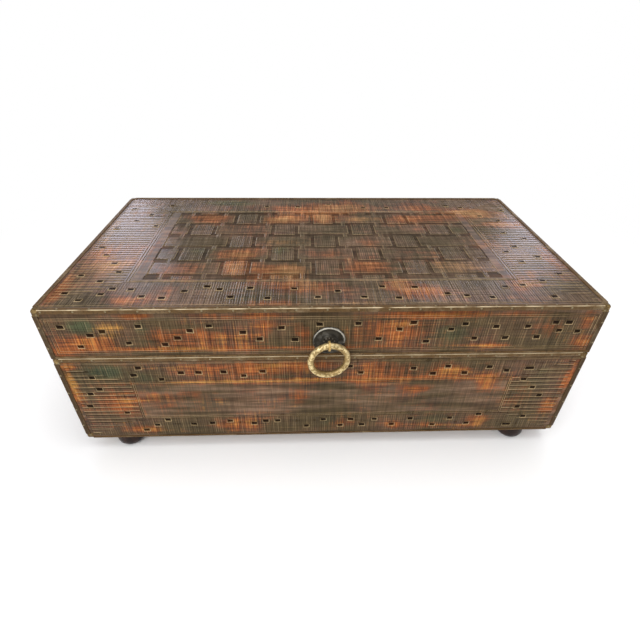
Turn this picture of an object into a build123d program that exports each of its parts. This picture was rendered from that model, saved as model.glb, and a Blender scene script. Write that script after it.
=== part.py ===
from build123d import *
from math import asin, cos, radians, sin
import os

# Camphor wood trunk. Millimetres, +Z up, +X to the right, the front faces -Y.
# The origin lies on the floor, under the middle of the whole trunk's outline.

# Overall sizes, over the metal edging
width = 1220.0
depth = 652.0
case_height = 268.0
lid_height = 131.0
foot_height = 42.0
seam_gap = 0.4

# Layers of the wall, from outside in
edging_thickness = 1.6
leather_thickness = 2.4
board_thickness = 18.0

# Legs of the metal edging on the faces they cover
top_edging_leg = 11.0
corner_edging_leg = 12.0
case_rim_leg = 11.0
lid_rim_leg = 6.0
bottom_leg = 5.0
rim_lap = 14.0
cap_leg = 17.0
edge_round = 3.0
rim_round = 1.0

# Dovetails at the corners
tail_pitch = 60.0
tail_share = 0.55
tail_slope = 1 / 7

# Bottom and lid planks
bottom_thickness = 12.0
bottom_rise = 14.0
groove_depth = 8.0
groove_play = 0.3
panel_play = 0.5
plank_count = 4
tongue_depth = 5.0
plank_gap = 0.2
batten_width = 42.0
batten_thickness = 16.0
batten_end_play = 1.0
batten_spread = 310.0

# Dust lip inside the case's rim
lip_thickness = 8.0
lip_below_seam = 40.0
lip_above_seam = 12.0
lip_clearance = 1.2
lip_stay_room = 32.0

# Bun feet and the glue blocks that take their tenons
foot_radius = 36.0
foot_widest_at = 21.0
foot_sole_radius = 17.0
foot_top_radius = 26.0
foot_setback = 37.0
foot_inset = 96.0
tenon_radius = 11.0
tenon_length = 22.0
tenon_play = 0.15
block_length = 110.0
block_depth = 80.0

# Upholstery tacks
tack_radius = 2.3
tack_head = 1.2
tack_shank_radius = 0.7
tack_length = 11.0
tack_inset = 5.0
tack_spacing = 66.6
cap_tack_inset = 12.5
tack_stagger = 9.0
hinge_tack_room = 9.0

# Hinges on the back
hinge_spread = 420.0
hinge_length = 76.0
leaf_height = 32.0
leaf_thickness = 2.0
knuckle_radius = 4.0
knuckle_count = 5
knuckle_gap = 0.2
barrel_clearance = 0.3
pin_radius = 2.0
pin_play = 0.05
pin_head_radius = 2.9
pin_head = 1.2
hinge_notch_play = 2.0
leaf_seam_play = 0.3

# Wood screws
screw_head_radius = 3.4
screw_radius = 1.6
screw_length = 15.0
screw_play = 0.1
screw_slot_width = 0.8
screw_slot_depth = 0.7

# Slotted lid stays, one inside each end
open_angle = 100.0
stay_radius = 110.0
stay_half_angle = 17.5
stay_thickness = 2.5
stay_width = 18.0
stay_tip = 13.0
stay_stud_radius = 4.0
stay_slot_play = 0.4
stay_pivot_play = 0.08
stay_side_play = 0.3
stay_standoff = 4.3
stay_plate_thickness = 2.5
stay_plate_length = 44.0
stay_plate_width = 20.0
stay_collar_radius = 7.0
stay_head_radius = 8.0
stay_head = 2.0
stay_screw_offset = 15.0

# Ring pull on the lid's front
pull_side_offset = 5.0
pull_above_seam = 45.0
plate_radius = 36.5
plate_rim_height = 4.4
plate_dish_height = 1.9
boss_radius = 17.5
boss_height = 10.0
ring_radius = 41.2
ring_tube = 7.4
ring_yaw = 7.0
ring_play = 0.7
eye_thickness = 3.4
eye_width = 5.0
eye_seat_gap = 0.4
eye_slit = 0.4
eye_tail_length = 18.0
eye_tail_thickness = 2.0
eye_hole_play = 0.25

# Levels and faces worked out from the sizes above
seam = foot_height + case_height
lid_base = seam + seam_gap
lid_top = seam + lid_height
board_inset = edging_thickness + leather_thickness
inside_inset = board_inset + board_thickness
eye_inner = ring_tube + ring_play
eye_outer = eye_inner + eye_thickness
eye_reach = boss_height - edging_thickness + eye_seat_gap + eye_outer
front_reach = eye_reach + ring_radius * sin(radians(ring_yaw)) + ring_tube
hinge_offset = knuckle_radius + barrel_clearance - edging_thickness
back_reach = hinge_offset + knuckle_radius
middle_y = (front_reach - back_reach) / 2
left, right = -width / 2, width / 2
front, back = middle_y - depth / 2, middle_y + depth / 2
case_board_low = foot_height + edging_thickness
case_board_high = seam - edging_thickness
lid_board_low = lid_base + edging_thickness
lid_board_high = lid_top - board_inset - board_thickness
bottom_low = foot_height + bottom_rise
bottom_high = bottom_low + bottom_thickness
hinge_y = back + hinge_offset
hinge_z = (seam + lid_base) / 2
hinge_places = [-hinge_spread, 0.0, hinge_spread]
pull_x, pull_y, pull_z = pull_side_offset, front - eye_reach, seam + pull_above_seam
ends = [("left", -1), ("right", 1)]

os.makedirs("parts", exist_ok=True)


# Writes one sub-part, made of one solid or a group of them
def keep(name, shape):
    solids = shape if isinstance(shape, list) else shape.solids()
    export_step(Compound(children=list(solids)), f"parts/{name}.step")


# A box between two opposite corners
def block(low, high):
    size = [high[i] - low[i] for i in range(3)]
    middle = [(high[i] + low[i]) / 2 for i in range(3)]
    return Pos(*middle) * Box(*size)


# A box that spans the trunk's plan, drawn in by an inset on every side
def slab(inset, low_z, high_z):
    return block((left + inset, front + inset, low_z), (right - inset, back - inset, high_z))


# A polygon of points in space, carried along a vector
def prism(points, along):
    return Part(Solid.extrude(Face(Wire.make_polygon(points)), Vector(*along)).wrapped)


# The place of a piece whose own +Z points along a direction
def facing(point, direction):
    return Plane(origin=point, z_dir=direction).location


# A bar or a bore along X
def bar(radius, x_low, x_high, y, z):
    return Pos((x_low + x_high) / 2, y, z) * Rot(0, 90, 0) * Cylinder(radius, x_high - x_low)


# Four square columns that stand on the plan's corners
def corner_columns(leg, low_z, high_z):
    columns = []
    for side in (-1, 1):
        for end in (-1, 1):
            x = right if side > 0 else left
            y = back if end > 0 else front
            low = (min(x, x - side * leg), min(y, y - end * leg), low_z)
            high = (max(x, x - side * leg), max(y, y - end * leg), high_z)
            columns.append(block(low, high))
    return columns


# The dovetails at one end of a front or back board, wider at their tips
def dovetails(side, y_low, low_z, high_z):
    count = max(2, round((high_z - low_z) / tail_pitch))
    pitch = (high_z - low_z) / count
    root = side * (width / 2 - inside_inset)
    tip = side * (width / 2 - board_inset)
    half = tail_share * pitch / 2
    flare = half + tail_slope * board_thickness
    tails = []
    for number in range(count):
        z = low_z + (number + 0.5) * pitch
        corners = [
            (root, y_low, z - half),
            (tip, y_low, z - flare),
            (tip, y_low, z + flare),
            (root, y_low, z + half),
        ]
        tails.append(prism(corners, (0, board_thickness, 0)))
    return tails


# Front, back and two end boards, dovetailed together, less whatever is cut from them all
def board_box(prefix, low_z, high_z, cuts, front_cuts):
    inner_x = width / 2 - inside_inset
    faces = {"front": front + board_inset, "back": back - inside_inset}
    sockets = []
    for name, y in faces.items():
        board = block((-inner_x, y, low_z), (inner_x, y + board_thickness, high_z))
        for side in (-1, 1):
            tails = dovetails(side, y, low_z, high_z)
            sockets += tails
            board += tails
        board -= cuts
        if name == "front" and front_cuts:
            board -= front_cuts
        keep(f"{prefix}_{name}_board", board)
    for name, side in ends:
        low_x = inner_x if side > 0 else -inner_x - board_thickness
        high_x = low_x + board_thickness
        board = block((low_x, front + board_inset, low_z), (high_x, back - board_inset, high_z))
        board -= sockets + cuts
        keep(f"{prefix}_{name}_board", board)


# Planks side by side, tongued and grooved, running along X
def planks(low, high):
    thickness = high[2] - low[2]
    pitch = (high[1] - low[1]) / plank_count
    third = thickness / 3
    made = []
    for number in range(plank_count):
        y_low = low[1] + number * pitch + (plank_gap if number else 0)
        y_high = low[1] + (number + 1) * pitch
        plank = block((low[0], y_low, low[2]), (high[0], y_high, high[2]))
        if number:
            reach = y_low + tongue_depth + plank_gap
            groove_low = low[2] + third - plank_gap / 2
            groove_high = high[2] - third + plank_gap / 2
            plank -= block((low[0] - 1, y_low - 1, groove_low), (high[0] + 1, reach, groove_high))
        if number < plank_count - 1:
            reach = y_high + tongue_depth
            plank += block((low[0], y_high - 1, low[2] + third), (high[0], reach, high[2] - third))
        made += plank.solids()
    return made


# The four faces' leather, the front and back pieces lapping the ends of the side pieces
def leather_faces(prefix, low_z, high_z, front_cuts):
    outer, inner = edging_thickness, board_inset
    skins = {
        "front": block((left + outer, front + outer, low_z), (right - outer, front + inner, high_z)),
        "back": block((left + outer, back - inner, low_z), (right - outer, back - outer, high_z)),
        "left": block((left + outer, front + inner, low_z), (left + inner, back - inner, high_z)),
        "right": block((right - inner, front + inner, low_z), (right - outer, back - inner, high_z)),
    }
    if front_cuts:
        skins["front"] -= front_cuts
    for name, skin in skins.items():
        keep(f"{prefix}_{name}_leather", skin)


# A metal angle all round the plan: one leg on the faces, one lapped over or under the edge
def edging_ring(low_z, high_z, lap_at_top, lap, outer_round):
    outer = slab(0, low_z, high_z)
    edge_z = Axis.Z
    outer = fillet(outer.edges().filter_by(edge_z), edge_round)
    rim = outer.faces().sort_by(edge_z)[-1 if lap_at_top else 0]
    outer = fillet(rim.edges(), outer_round)
    if lap_at_top:
        hollow = slab(edging_thickness, low_z - 1, high_z - edging_thickness)
    else:
        hollow = slab(edging_thickness, low_z + edging_thickness, high_z + 1)
    return outer - hollow - slab(lap, low_z - 1, high_z + 1)


# Three-sided caps at the plan's corners, closed at the top or at the bottom
def corner_caps(low_z, high_z, closed_at_top):
    outer = fillet(slab(0, low_z, high_z).edges().filter_by(Axis.Z), edge_round)
    rim = outer.faces().sort_by(Axis.Z)[-1 if closed_at_top else 0]
    outer = fillet(rim.edges(), edge_round)
    if closed_at_top:
        outer -= slab(edging_thickness, low_z - 1, high_z - edging_thickness)
    else:
        outer -= slab(edging_thickness, low_z + edging_thickness, high_z + 1)
    caps = []
    for column in corner_columns(cap_leg, low_z, high_z):
        caps += (outer & column).solids()
    return caps


# Upright angles on the plan's corners
def corner_angles(low_z, high_z):
    outer = fillet(slab(0, low_z, high_z).edges().filter_by(Axis.Z), edge_round)
    outer -= slab(edging_thickness, low_z - 1, high_z + 1)
    angles = []
    for column in corner_columns(corner_edging_leg, low_z, high_z):
        angles += (outer & column).solids()
    return angles


# Boxes round the hinges, for the metal edging to be cut away there
def hinge_notches(low_z, high_z):
    reach = hinge_length / 2 + hinge_notch_play
    notches = []
    for x in hinge_places:
        low = (x - reach, back - edging_thickness, low_z)
        notches.append(block(low, (x + reach, back + 1, high_z)))
    return notches


# A domed tack with its nail, standing on the plane it is driven into
def tack():
    points = [(0, -tack_length), (tack_shank_radius, 3 - tack_length), (tack_shank_radius, 0), (tack_radius, 0)]
    ball = (tack_radius**2 + tack_head**2) / (2 * tack_head)
    half_turn = asin(tack_radius / ball) / 2
    bulge = (ball * sin(half_turn), tack_head - ball + ball * cos(half_turn))
    outline = Polyline(*points) + ThreePointArc((tack_radius, 0), bulge, (0, tack_head))
    outline += Line((0, tack_head), (0, -tack_length))
    return revolve(Plane.XZ * make_face(outline), Axis.Z)


# Even places along a line, as near to the tack spacing as a whole number allows
def spaced(low, high, shift):
    count = max(1, round((high - low) / tack_spacing))
    step = (high - low) / count
    if shift:
        return [low + (number + 0.5) * step for number in range(count)]
    return [low + number * step for number in range(count + 1)]


# Tacks in a level row round the four faces, at one height
def face_row(z, margin, shift, near_hinges):
    places = []
    for x in spaced(left + margin, right - margin, shift):
        places.append(((x, front, z), (0, -1, 0)))
        room = hinge_length / 2 + hinge_notch_play + hinge_tack_room
        if not near_hinges or min(abs(x - hinge) for hinge in hinge_places) > room:
            places.append(((x, back, z), (0, 1, 0)))
    for y in spaced(front + margin, back - margin, shift):
        places.append(((left, y, z), (-1, 0, 0)))
        places.append(((right, y, z), (1, 0, 0)))
    return places


# Tacks on top of the lid, a row behind each edge
def top_row(margin, shift):
    places = []
    for x in spaced(left + margin, right - margin, shift):
        places.append(((x, front + tack_inset, lid_top), (0, 0, 1)))
        places.append(((x, back - tack_inset, lid_top), (0, 0, 1)))
    for y in spaced(front + margin, back - margin, shift):
        places.append(((left + tack_inset, y, lid_top), (0, 0, 1)))
        places.append(((right - tack_inset, y, lid_top), (0, 0, 1)))
    return places


# Tacks at stated heights on both faces of every upright corner, the nails passing each other
def corner_rows(heights, inset, stagger):
    places = []
    for z in heights:
        for side in (-1, 1):
            for end in (-1, 1):
                x = right if side > 0 else left
                y = back if end > 0 else front
                places.append(((x - side * inset, y, z), (0, end, 0)))
                places.append(((x, y - end * inset, z - stagger), (side, 0, 0)))
    return places


def driven(places):
    one = tack()
    made = []
    for point, direction in places:
        made += (facing(point, direction) * one).solids()
    return made


# A slotted countersunk wood screw: its head's face lies at the plane of the point
def screw():
    neck = screw_head_radius - screw_radius
    points = [
        (0, 0),
        (screw_head_radius, 0),
        (screw_radius, -neck),
        (screw_radius, 3 - screw_length),
        (0, -screw_length),
        (0, 0),
    ]
    body = revolve(Plane.XZ * make_face(Polyline(*points)), Axis.Z)
    reach = screw_head_radius + 1
    return body - block((-reach, -screw_slot_width / 2, -screw_slot_depth), (reach, screw_slot_width / 2, 1))


# The tool that bores and countersinks a plate for one screw
def screw_bore():
    head, shank = screw_head_radius + screw_play, screw_radius + screw_play
    points = [(0, 1), (head + 1, 1), (shank, shank - head), (shank, -screw_length), (0, -screw_length), (0, 1)]
    return revolve(Plane.XZ * make_face(Polyline(*points)), Axis.Z)


# The screws' places on one hinge leaf, above or below the hinge line
def leaf_screw_places(x, way):
    y = back - edging_thickness + leaf_thickness
    spread, near, far = hinge_length * 0.34, leaf_height * 0.44, leaf_height * 0.72
    spots = [(-spread, far), (0, near), (spread, far)]
    return [((x + shift, y, hinge_z + way * rise), (0, 1, 0)) for shift, rise in spots]


# One leaf of a butt hinge. way is 1 for the lid's leaf and -1 for the case's
def hinge_leaf(x, way):
    y_low = back - edging_thickness
    near, far = hinge_z + way * leaf_seam_play, hinge_z + way * leaf_height
    low_x, high_x = x - hinge_length / 2, x + hinge_length / 2
    leaf = block((low_x, y_low, min(near, far)), (high_x, y_low + leaf_thickness, max(near, far)))
    pitch = hinge_length / knuckle_count
    for number in range(knuckle_count):
        k_low, k_high = low_x + number * pitch, low_x + (number + 1) * pitch
        own = (number % 2 == 0) == (way < 0)
        if own:
            k_low += knuckle_gap / 2 if number else 0
            k_high -= knuckle_gap / 2 if number < knuckle_count - 1 else 0
            leaf += bar(knuckle_radius, k_low, k_high, hinge_y, hinge_z)
        else:
            room = knuckle_radius + barrel_clearance
            leaf -= bar(room, k_low - knuckle_gap / 2, k_high + knuckle_gap / 2, hinge_y, hinge_z)
    leaf -= bar(pin_radius + pin_play, low_x - 1, high_x + 1, hinge_y, hinge_z)
    for point, direction in leaf_screw_places(x, way):
        leaf -= facing(point, direction) * screw_bore()
    return leaf


def hinge_pin(x):
    low_x, high_x = x - hinge_length / 2, x + hinge_length / 2
    pin = bar(pin_radius, low_x, high_x, hinge_y, hinge_z)
    pin += bar(pin_head_radius, low_x - pin_head, low_x, hinge_y, hinge_z)
    return pin + bar(pin_head_radius, high_x, high_x + pin_head, hinge_y, hinge_z)


# A point on the stay's circle round the hinge line, at an angle above the level
def stay_point(angle):
    return hinge_y - stay_radius * cos(radians(angle)), hinge_z + stay_radius * sin(radians(angle))


# The plate that carries a stay's stud, its collar, the stud and its riveted head
def stay_fixture(side, y, z, stud_head_radius):
    wall = width / 2 - inside_inset
    plate_face = wall - stay_plate_thickness
    arm_face = wall - stay_standoff - stay_side_play
    head_face = arm_face - stay_thickness - 2 * stay_side_play
    half_length, half_width = stay_plate_length / 2, stay_plate_width / 2
    plate = block((plate_face, y - half_length, z - half_width), (wall, y + half_length, z + half_width))
    made = fillet(plate.edges().filter_by(Axis.X), half_width * 0.6)
    made += bar(stay_collar_radius, arm_face + stay_side_play, plate_face, y, z)
    made += bar(stay_stud_radius, head_face, arm_face + stay_side_play, y, z)
    made += bar(stud_head_radius, head_face - stay_head, head_face, y, z)
    places = []
    for shift in (-stay_screw_offset, stay_screw_offset):
        places.append(((plate_face, y + shift, z), (-1, 0, 0)))
        made -= facing(*places[-1]) * screw_bore()
    if side > 0:
        return made, places
    flipped = [((-point[0], point[1], point[2]), (1, 0, 0)) for point, direction in places]
    return mirror(made, Plane.YZ), flipped


# The slotted arm, hanging from its pivot on the lid
def stay_arm(side):
    y, z = stay_point(stay_half_angle)
    closed = 2 * stay_radius * sin(radians(stay_half_angle))
    opened = 2 * stay_radius * sin(radians(stay_half_angle + open_angle / 2))
    face = width / 2 - inside_inset - stay_standoff - stay_side_play
    low_x, high_x = face - stay_thickness, face
    half = stay_width / 2
    tip = z - opened - stay_tip + half
    arm = block((low_x, y - half, tip), (high_x, y + half, z))
    arm += bar(half, low_x, high_x, y, z) + bar(half, low_x, high_x, y, tip)
    arm -= bar(stay_stud_radius + stay_pivot_play, low_x - 1, high_x + 1, y, z)
    slot = stay_stud_radius + stay_slot_play
    slot_high, slot_low = z - closed, z - opened
    arm -= block((low_x - 1, y - slot, slot_low), (high_x + 1, y + slot, slot_high))
    arm -= bar(slot, low_x - 1, high_x + 1, y, slot_high) + bar(slot, low_x - 1, high_x + 1, y, slot_low)
    return arm if side > 0 else mirror(arm, Plane.YZ)


# A turned bun foot with the tenon that is glued into the block above it
def foot(x, y):
    widest = (foot_radius, foot_widest_at)
    outline = Polyline((0, 0), (foot_sole_radius, 0))
    outline += TangentArc(widest, (foot_sole_radius, 0), tangent=(0, -1))
    outline += TangentArc(widest, (foot_top_radius, foot_height), tangent=(0, 1))
    tenon_top = foot_height + tenon_length
    points = [(foot_top_radius, foot_height), (tenon_radius, foot_height), (tenon_radius, tenon_top), (0, tenon_top)]
    outline += Polyline(*points, (0, 0))
    return Pos(x, y, 0) * revolve(Plane.XZ * make_face(outline), Axis.Z)


# Where each foot stands
def foot_places():
    places = {}
    for end_name, y in (("front", front + foot_setback), ("back", back - foot_setback)):
        for name, side in ends:
            places[f"{end_name}_{name}"] = (side * (width / 2 - foot_inset), y)
    return places


# The cast plate behind the ring: a beaded rim, a dished middle and a domed boss
def ring_plate(bore):
    rim_inner = plate_radius - 6
    step = (boss_radius - 2, boss_height * 0.7)
    outline = ThreePointArc((plate_radius, 0), (plate_radius - 2.4, plate_rim_height), (rim_inner, plate_rim_height * 0.7))
    middle = ((rim_inner + boss_radius) / 2, plate_dish_height)
    outline += ThreePointArc((rim_inner, plate_rim_height * 0.7), middle, (boss_radius, plate_rim_height * 0.7))
    outline += Line((boss_radius, plate_rim_height * 0.7), step)
    dome = ((step[0] + bore) / 2, boss_height * 0.93)
    outline += ThreePointArc(step, dome, (bore, boss_height))
    outline += Polyline((bore, boss_height), (bore, 0), (plate_radius, 0))
    plate = revolve(Plane.XZ * make_face(outline), Axis.Z)
    return facing((pull_x, front + edging_thickness, pull_z), (0, -1, 0)) * plate


# A split pin: a loop for the ring, two legs through the lid, and their clinched tails
def ring_eye():
    half = eye_width / 2
    inner_face = front + inside_inset
    low_x, high_x = pull_x - half, pull_x + half
    eye = bar(eye_outer, low_x, high_x, pull_y, pull_z)
    leg_start = pull_y + eye_outer - eye_thickness / 2
    low = (low_x, leg_start, pull_z - eye_thickness)
    eye += block(low, (high_x, inner_face + eye_tail_thickness, pull_z + eye_thickness))
    low = (low_x, inner_face, pull_z - eye_tail_length)
    eye += block(low, (high_x, inner_face + eye_tail_thickness, pull_z + eye_tail_length))
    eye -= bar(eye_inner, low_x - 1, high_x + 1, pull_y, pull_z)
    low = (low_x - 1, pull_y, pull_z - eye_slit / 2)
    return eye - block(low, (high_x + 1, inner_face + eye_tail_thickness + 1, pull_z + eye_slit / 2))


# Case: boards, bottom, lip and feet
groove_inset = inside_inset - groove_depth
groove = slab(groove_inset, bottom_low, bottom_high + groove_play)
foot_bores = []
for name, (x, y) in foot_places().items():
    foot_bores.append(Pos(x, y, bottom_low) * Cylinder(tenon_radius + tenon_play, 2 * tenon_length + 20))
    keep(f"foot_{name}", foot(x, y))

board_box("case", case_board_low, case_board_high, [groove] + foot_bores, [])

plank_inset = groove_inset + panel_play
low = (left + plank_inset, front + plank_inset, bottom_low)
high = (right - plank_inset, back - plank_inset, bottom_high)
bottom_planks = []
for plank in planks(low, high):
    bottom_planks += (plank - foot_bores).solids()
keep("case_bottom_planks", bottom_planks)

foot_blocks = []
for name, (x, y) in foot_places().items():
    toward = 1 if y < middle_y else -1
    wall = front + inside_inset if toward > 0 else back - inside_inset
    y_low, y_high = min(wall, wall + toward * block_depth), max(wall, wall + toward * block_depth)
    low = (x - block_length / 2, y_low, foot_height)
    shape = block(low, (x + block_length / 2, y_high, bottom_low)) - foot_bores
    foot_blocks += shape.solids()
keep("foot_blocks", foot_blocks)

lip_low, lip_high = seam - lip_below_seam, seam + lip_above_seam
lip_outer, lip_inner = inside_inset, inside_inset + lip_thickness
lip_relief = slab(0, seam, lip_high + 1) - slab(lip_outer + lip_clearance, seam - 1, lip_high + 2)
side_lip_end = hinge_y - stay_radius - lip_stay_room
front_low, front_high = front + lip_outer, front + lip_inner
lip = block((left + lip_outer, front_low, lip_low), (right - lip_outer, front_high, lip_high))
keep("case_front_lip", lip - lip_relief)
for name, side in ends:
    x_outer, x_inner = side * (width / 2 - lip_outer), side * (width / 2 - lip_inner)
    low = (min(x_outer, x_inner), front_high, lip_low)
    lip = block(low, (max(x_outer, x_inner), side_lip_end, lip_high))
    keep(f"case_{name}_lip", lip - lip_relief)

# Case: leather, edging and tacks
leather_faces("case", case_board_low, case_board_high, [])
rim_columns = corner_columns(cap_leg, seam - cap_leg, seam)
rim_edging = edging_ring(seam - case_rim_leg, seam, True, rim_lap, rim_round)
rim_edging -= rim_columns + hinge_notches(seam - case_rim_leg - 1, seam + 1)
keep("case_rim_edging", rim_edging)
bottom_columns = corner_columns(cap_leg, foot_height, foot_height + cap_leg)
bottom_edging = edging_ring(foot_height, foot_height + bottom_leg, False, rim_lap, rim_round)
keep("case_bottom_edging", bottom_edging - bottom_columns)
keep("case_corner_edging", corner_angles(foot_height + cap_leg, seam - cap_leg))
keep("case_rim_caps", corner_caps(seam - cap_leg, seam, True))
keep("case_bottom_caps", corner_caps(foot_height, foot_height + cap_leg, False))

row_margin = cap_leg + tack_inset
corner_span = case_height - 2 * cap_leg
corner_heights = [foot_height + cap_leg + corner_span * share for share in (0.14, 0.38, 0.62, 0.86)]
case_places = face_row(seam - case_rim_leg / 2, row_margin, False, True)
case_places += corner_rows(corner_heights, tack_inset, tack_stagger)
case_places += corner_rows([seam - cap_tack_inset], cap_tack_inset, 0)
case_places += corner_rows([foot_height + cap_tack_inset], cap_tack_inset, 0)
keep("case_tacks", driven(case_places))

# Lid: boards, planks and battens
pull_bore_radius = (eye_width**2 + (2 * eye_thickness) ** 2) ** 0.5 / 2 + eye_hole_play
pull_bore = facing((pull_x, front + inside_inset, pull_z), (0, -1, 0)) * Cylinder(pull_bore_radius, 4 * inside_inset)
board_box("lid", lid_board_low, lid_board_high, [], [pull_bore])
low = (left + board_inset, front + board_inset, lid_board_high)
high = (right - board_inset, back - board_inset, lid_top - board_inset)
keep("lid_top_planks", planks(low, high))

battens = []
for side in (-1, 1):
    x = side * batten_spread
    y_inset = inside_inset + batten_end_play
    low = (x - batten_width / 2, front + y_inset, lid_board_high - batten_thickness)
    battens.append(block(low, (x + batten_width / 2, back - y_inset, lid_board_high)))
keep("lid_battens", battens)

# Lid: leather, edging and tacks
leather_faces("lid", lid_board_low, lid_top - board_inset, [pull_bore])
keep("lid_top_leather", slab(edging_thickness, lid_top - board_inset, lid_top - edging_thickness))
lid_columns = corner_columns(cap_leg, lid_top - cap_leg, lid_top)
top_edging = edging_ring(lid_top - top_edging_leg, lid_top, True, top_edging_leg, edge_round)
keep("lid_top_edging", top_edging - lid_columns)
lid_rim = edging_ring(lid_base, lid_base + lid_rim_leg, False, rim_lap, rim_round)
keep("lid_rim_edging", lid_rim - hinge_notches(lid_base - 1, lid_base + lid_rim_leg + 1))
keep("lid_corner_edging", corner_angles(lid_base + lid_rim_leg, lid_top - cap_leg))
keep("lid_caps", corner_caps(lid_top - cap_leg, lid_top, True))

corner_span = lid_height - cap_leg - lid_rim_leg
corner_heights = [lid_top - cap_leg - corner_span * share for share in (0.26, 0.78)]
lid_places = face_row(lid_top - tack_inset, row_margin, False, False) + top_row(row_margin, True)
lid_places += corner_rows(corner_heights, tack_inset, tack_stagger)
lid_places += corner_rows([lid_top - cap_tack_inset], cap_tack_inset, 0)
keep("lid_tacks", driven(lid_places))

# Hinges with their pins
for number, x in enumerate(hinge_places):
    keep(f"hinge_{number + 1}_case_leaf", hinge_leaf(x, -1))
    keep(f"hinge_{number + 1}_lid_leaf", hinge_leaf(x, 1))
keep("hinge_pins", [solid for x in hinge_places for solid in hinge_pin(x).solids()])

# Lid stays
case_screw_places, lid_screw_places = [], []
for name, side in ends:
    bracket, places = stay_fixture(side, *stay_point(stay_half_angle), stay_collar_radius)
    keep(f"{name}_stay_bracket", bracket)
    lid_screw_places += places
    stud, places = stay_fixture(side, *stay_point(-stay_half_angle), stay_head_radius)
    keep(f"{name}_stay_stud", stud)
    case_screw_places += places
    keep(f"{name}_stay_arm", stay_arm(side))

# Screws of the hinges and stays
for x in hinge_places:
    case_screw_places += leaf_screw_places(x, -1)
    lid_screw_places += leaf_screw_places(x, 1)
for name, places in (("case", case_screw_places), ("lid", lid_screw_places)):
    one = screw()
    screws = [solid for point, way in places for solid in (facing(point, way) * one).solids()]
    keep(f"{name}_screws", screws)

# Ring pull
keep("ring_plate", ring_plate(pull_bore_radius))
keep("ring_eye", ring_eye())
hang = Pos(pull_x, pull_y, pull_z) * Rot(0, 0, ring_yaw) * Pos(0, 0, -ring_radius) * Rot(90, 0, 0)
keep("ring", hang * Torus(ring_radius, ring_tube))

print("hinge line", round(hinge_y, 3), round(hinge_z, 3))
print("stay pivot", [round(value, 3) for value in stay_point(stay_half_angle)])
print("ring pivot", round(pull_x, 3), round(pull_y, 3), round(pull_z, 3))
print("front", round(front, 3), "back", round(back, 3), "seam", seam, "top", lid_top)
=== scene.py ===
import math

import bpy
import numpy as np
from mathutils import Euler, Matrix, Vector


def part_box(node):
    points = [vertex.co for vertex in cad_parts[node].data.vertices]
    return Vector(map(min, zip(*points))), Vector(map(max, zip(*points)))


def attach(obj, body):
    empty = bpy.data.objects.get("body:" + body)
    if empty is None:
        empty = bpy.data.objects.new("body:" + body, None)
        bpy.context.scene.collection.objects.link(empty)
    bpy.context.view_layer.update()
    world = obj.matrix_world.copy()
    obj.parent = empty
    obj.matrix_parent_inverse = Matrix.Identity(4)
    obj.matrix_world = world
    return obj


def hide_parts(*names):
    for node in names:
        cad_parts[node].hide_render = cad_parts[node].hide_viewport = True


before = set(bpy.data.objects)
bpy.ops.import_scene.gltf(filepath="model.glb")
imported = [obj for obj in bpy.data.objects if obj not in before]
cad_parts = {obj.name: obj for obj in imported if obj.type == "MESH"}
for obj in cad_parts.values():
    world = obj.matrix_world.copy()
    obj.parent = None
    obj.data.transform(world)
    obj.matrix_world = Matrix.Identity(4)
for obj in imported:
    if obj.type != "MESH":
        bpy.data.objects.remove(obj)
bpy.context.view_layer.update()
mm = 0.001
print("frame loaded")


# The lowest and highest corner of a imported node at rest, in millimetres
def boxOf(name):
    return [np.array(corner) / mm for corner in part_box(name)]


# The trunk's outline, from the frame: x grows to the right, the front faces -y
topLow, topHigh = boxOf("lid_top_edging")
rimLow, rimHigh = boxOf("case_rim_edging")
baseLow, baseHigh = boxOf("case_bottom_edging")
lidRimLow, lidRimHigh = boxOf("lid_rim_edging")
skinLow, skinHigh = boxOf("lid_top_leather")
leftX, rightX = topLow[0], topHigh[0]
frontY, backY = topLow[1], topHigh[1]
lidTop, seamZ, lidBase, caseBase = topHigh[2], rimHigh[2], lidRimLow[2], baseLow[2]
trunkWidth, trunkDepth = rightX - leftX, backY - frontY
metalThickness = lidTop - skinHigh[2]
skinThickness = skinHigh[2] - skinLow[2]
capLeg = rimHigh[2] - boxOf("case_rim_caps")[0][2]
sides = ("front", "back", "left", "right")


# Shader helpers. A value given to one is a number, a colour or another node's output.

def freshMaterial(name):
    material = bpy.data.materials.new(name)
    material.use_nodes = True
    tree = material.node_tree
    tree.nodes.clear()
    output = tree.nodes.new("ShaderNodeOutputMaterial")
    surface = tree.nodes.new("ShaderNodeBsdfPrincipled")
    tree.links.new(surface.outputs[0], output.inputs[0])
    return material, tree, surface


def plug(tree, socket, value):
    if isinstance(value, bpy.types.NodeSocket):
        tree.links.new(value, socket)
    elif isinstance(value, tuple) and len(value) == 3 and socket.type == "RGBA":
        socket.default_value = (*value, 1)
    else:
        socket.default_value = value


def maths(tree, operation, first, second=0.0, clamp=False):
    node = tree.nodes.new("ShaderNodeMath")
    node.operation = operation
    node.use_clamp = clamp
    plug(tree, node.inputs[0], first)
    plug(tree, node.inputs[1], second)
    return node.outputs[0]


def times(tree, product, *factors):
    for factor in factors:
        product = maths(tree, "MULTIPLY", product, factor)
    return product


def plus(tree, total, *terms):
    for term in terms:
        total = maths(tree, "ADD", total, term)
    return total


def minus(tree, first, second):
    return maths(tree, "SUBTRACT", first, second)


def blendColour(tree, factor, first, second, mode="MIX"):
    node = tree.nodes.new("ShaderNodeMix")
    node.data_type = "RGBA"
    node.blend_type = mode
    for number, value in ((0, factor), (6, first), (7, second)):
        plug(tree, node.inputs[number], value)
    return node.outputs[2]


def stretched(tree, vector, scale, offset=(0, 0, 0)):
    node = tree.nodes.new("ShaderNodeMapping")
    plug(tree, node.inputs[0], vector)
    node.inputs["Scale"].default_value = scale
    node.inputs["Location"].default_value = offset
    return node.outputs[0]


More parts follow.
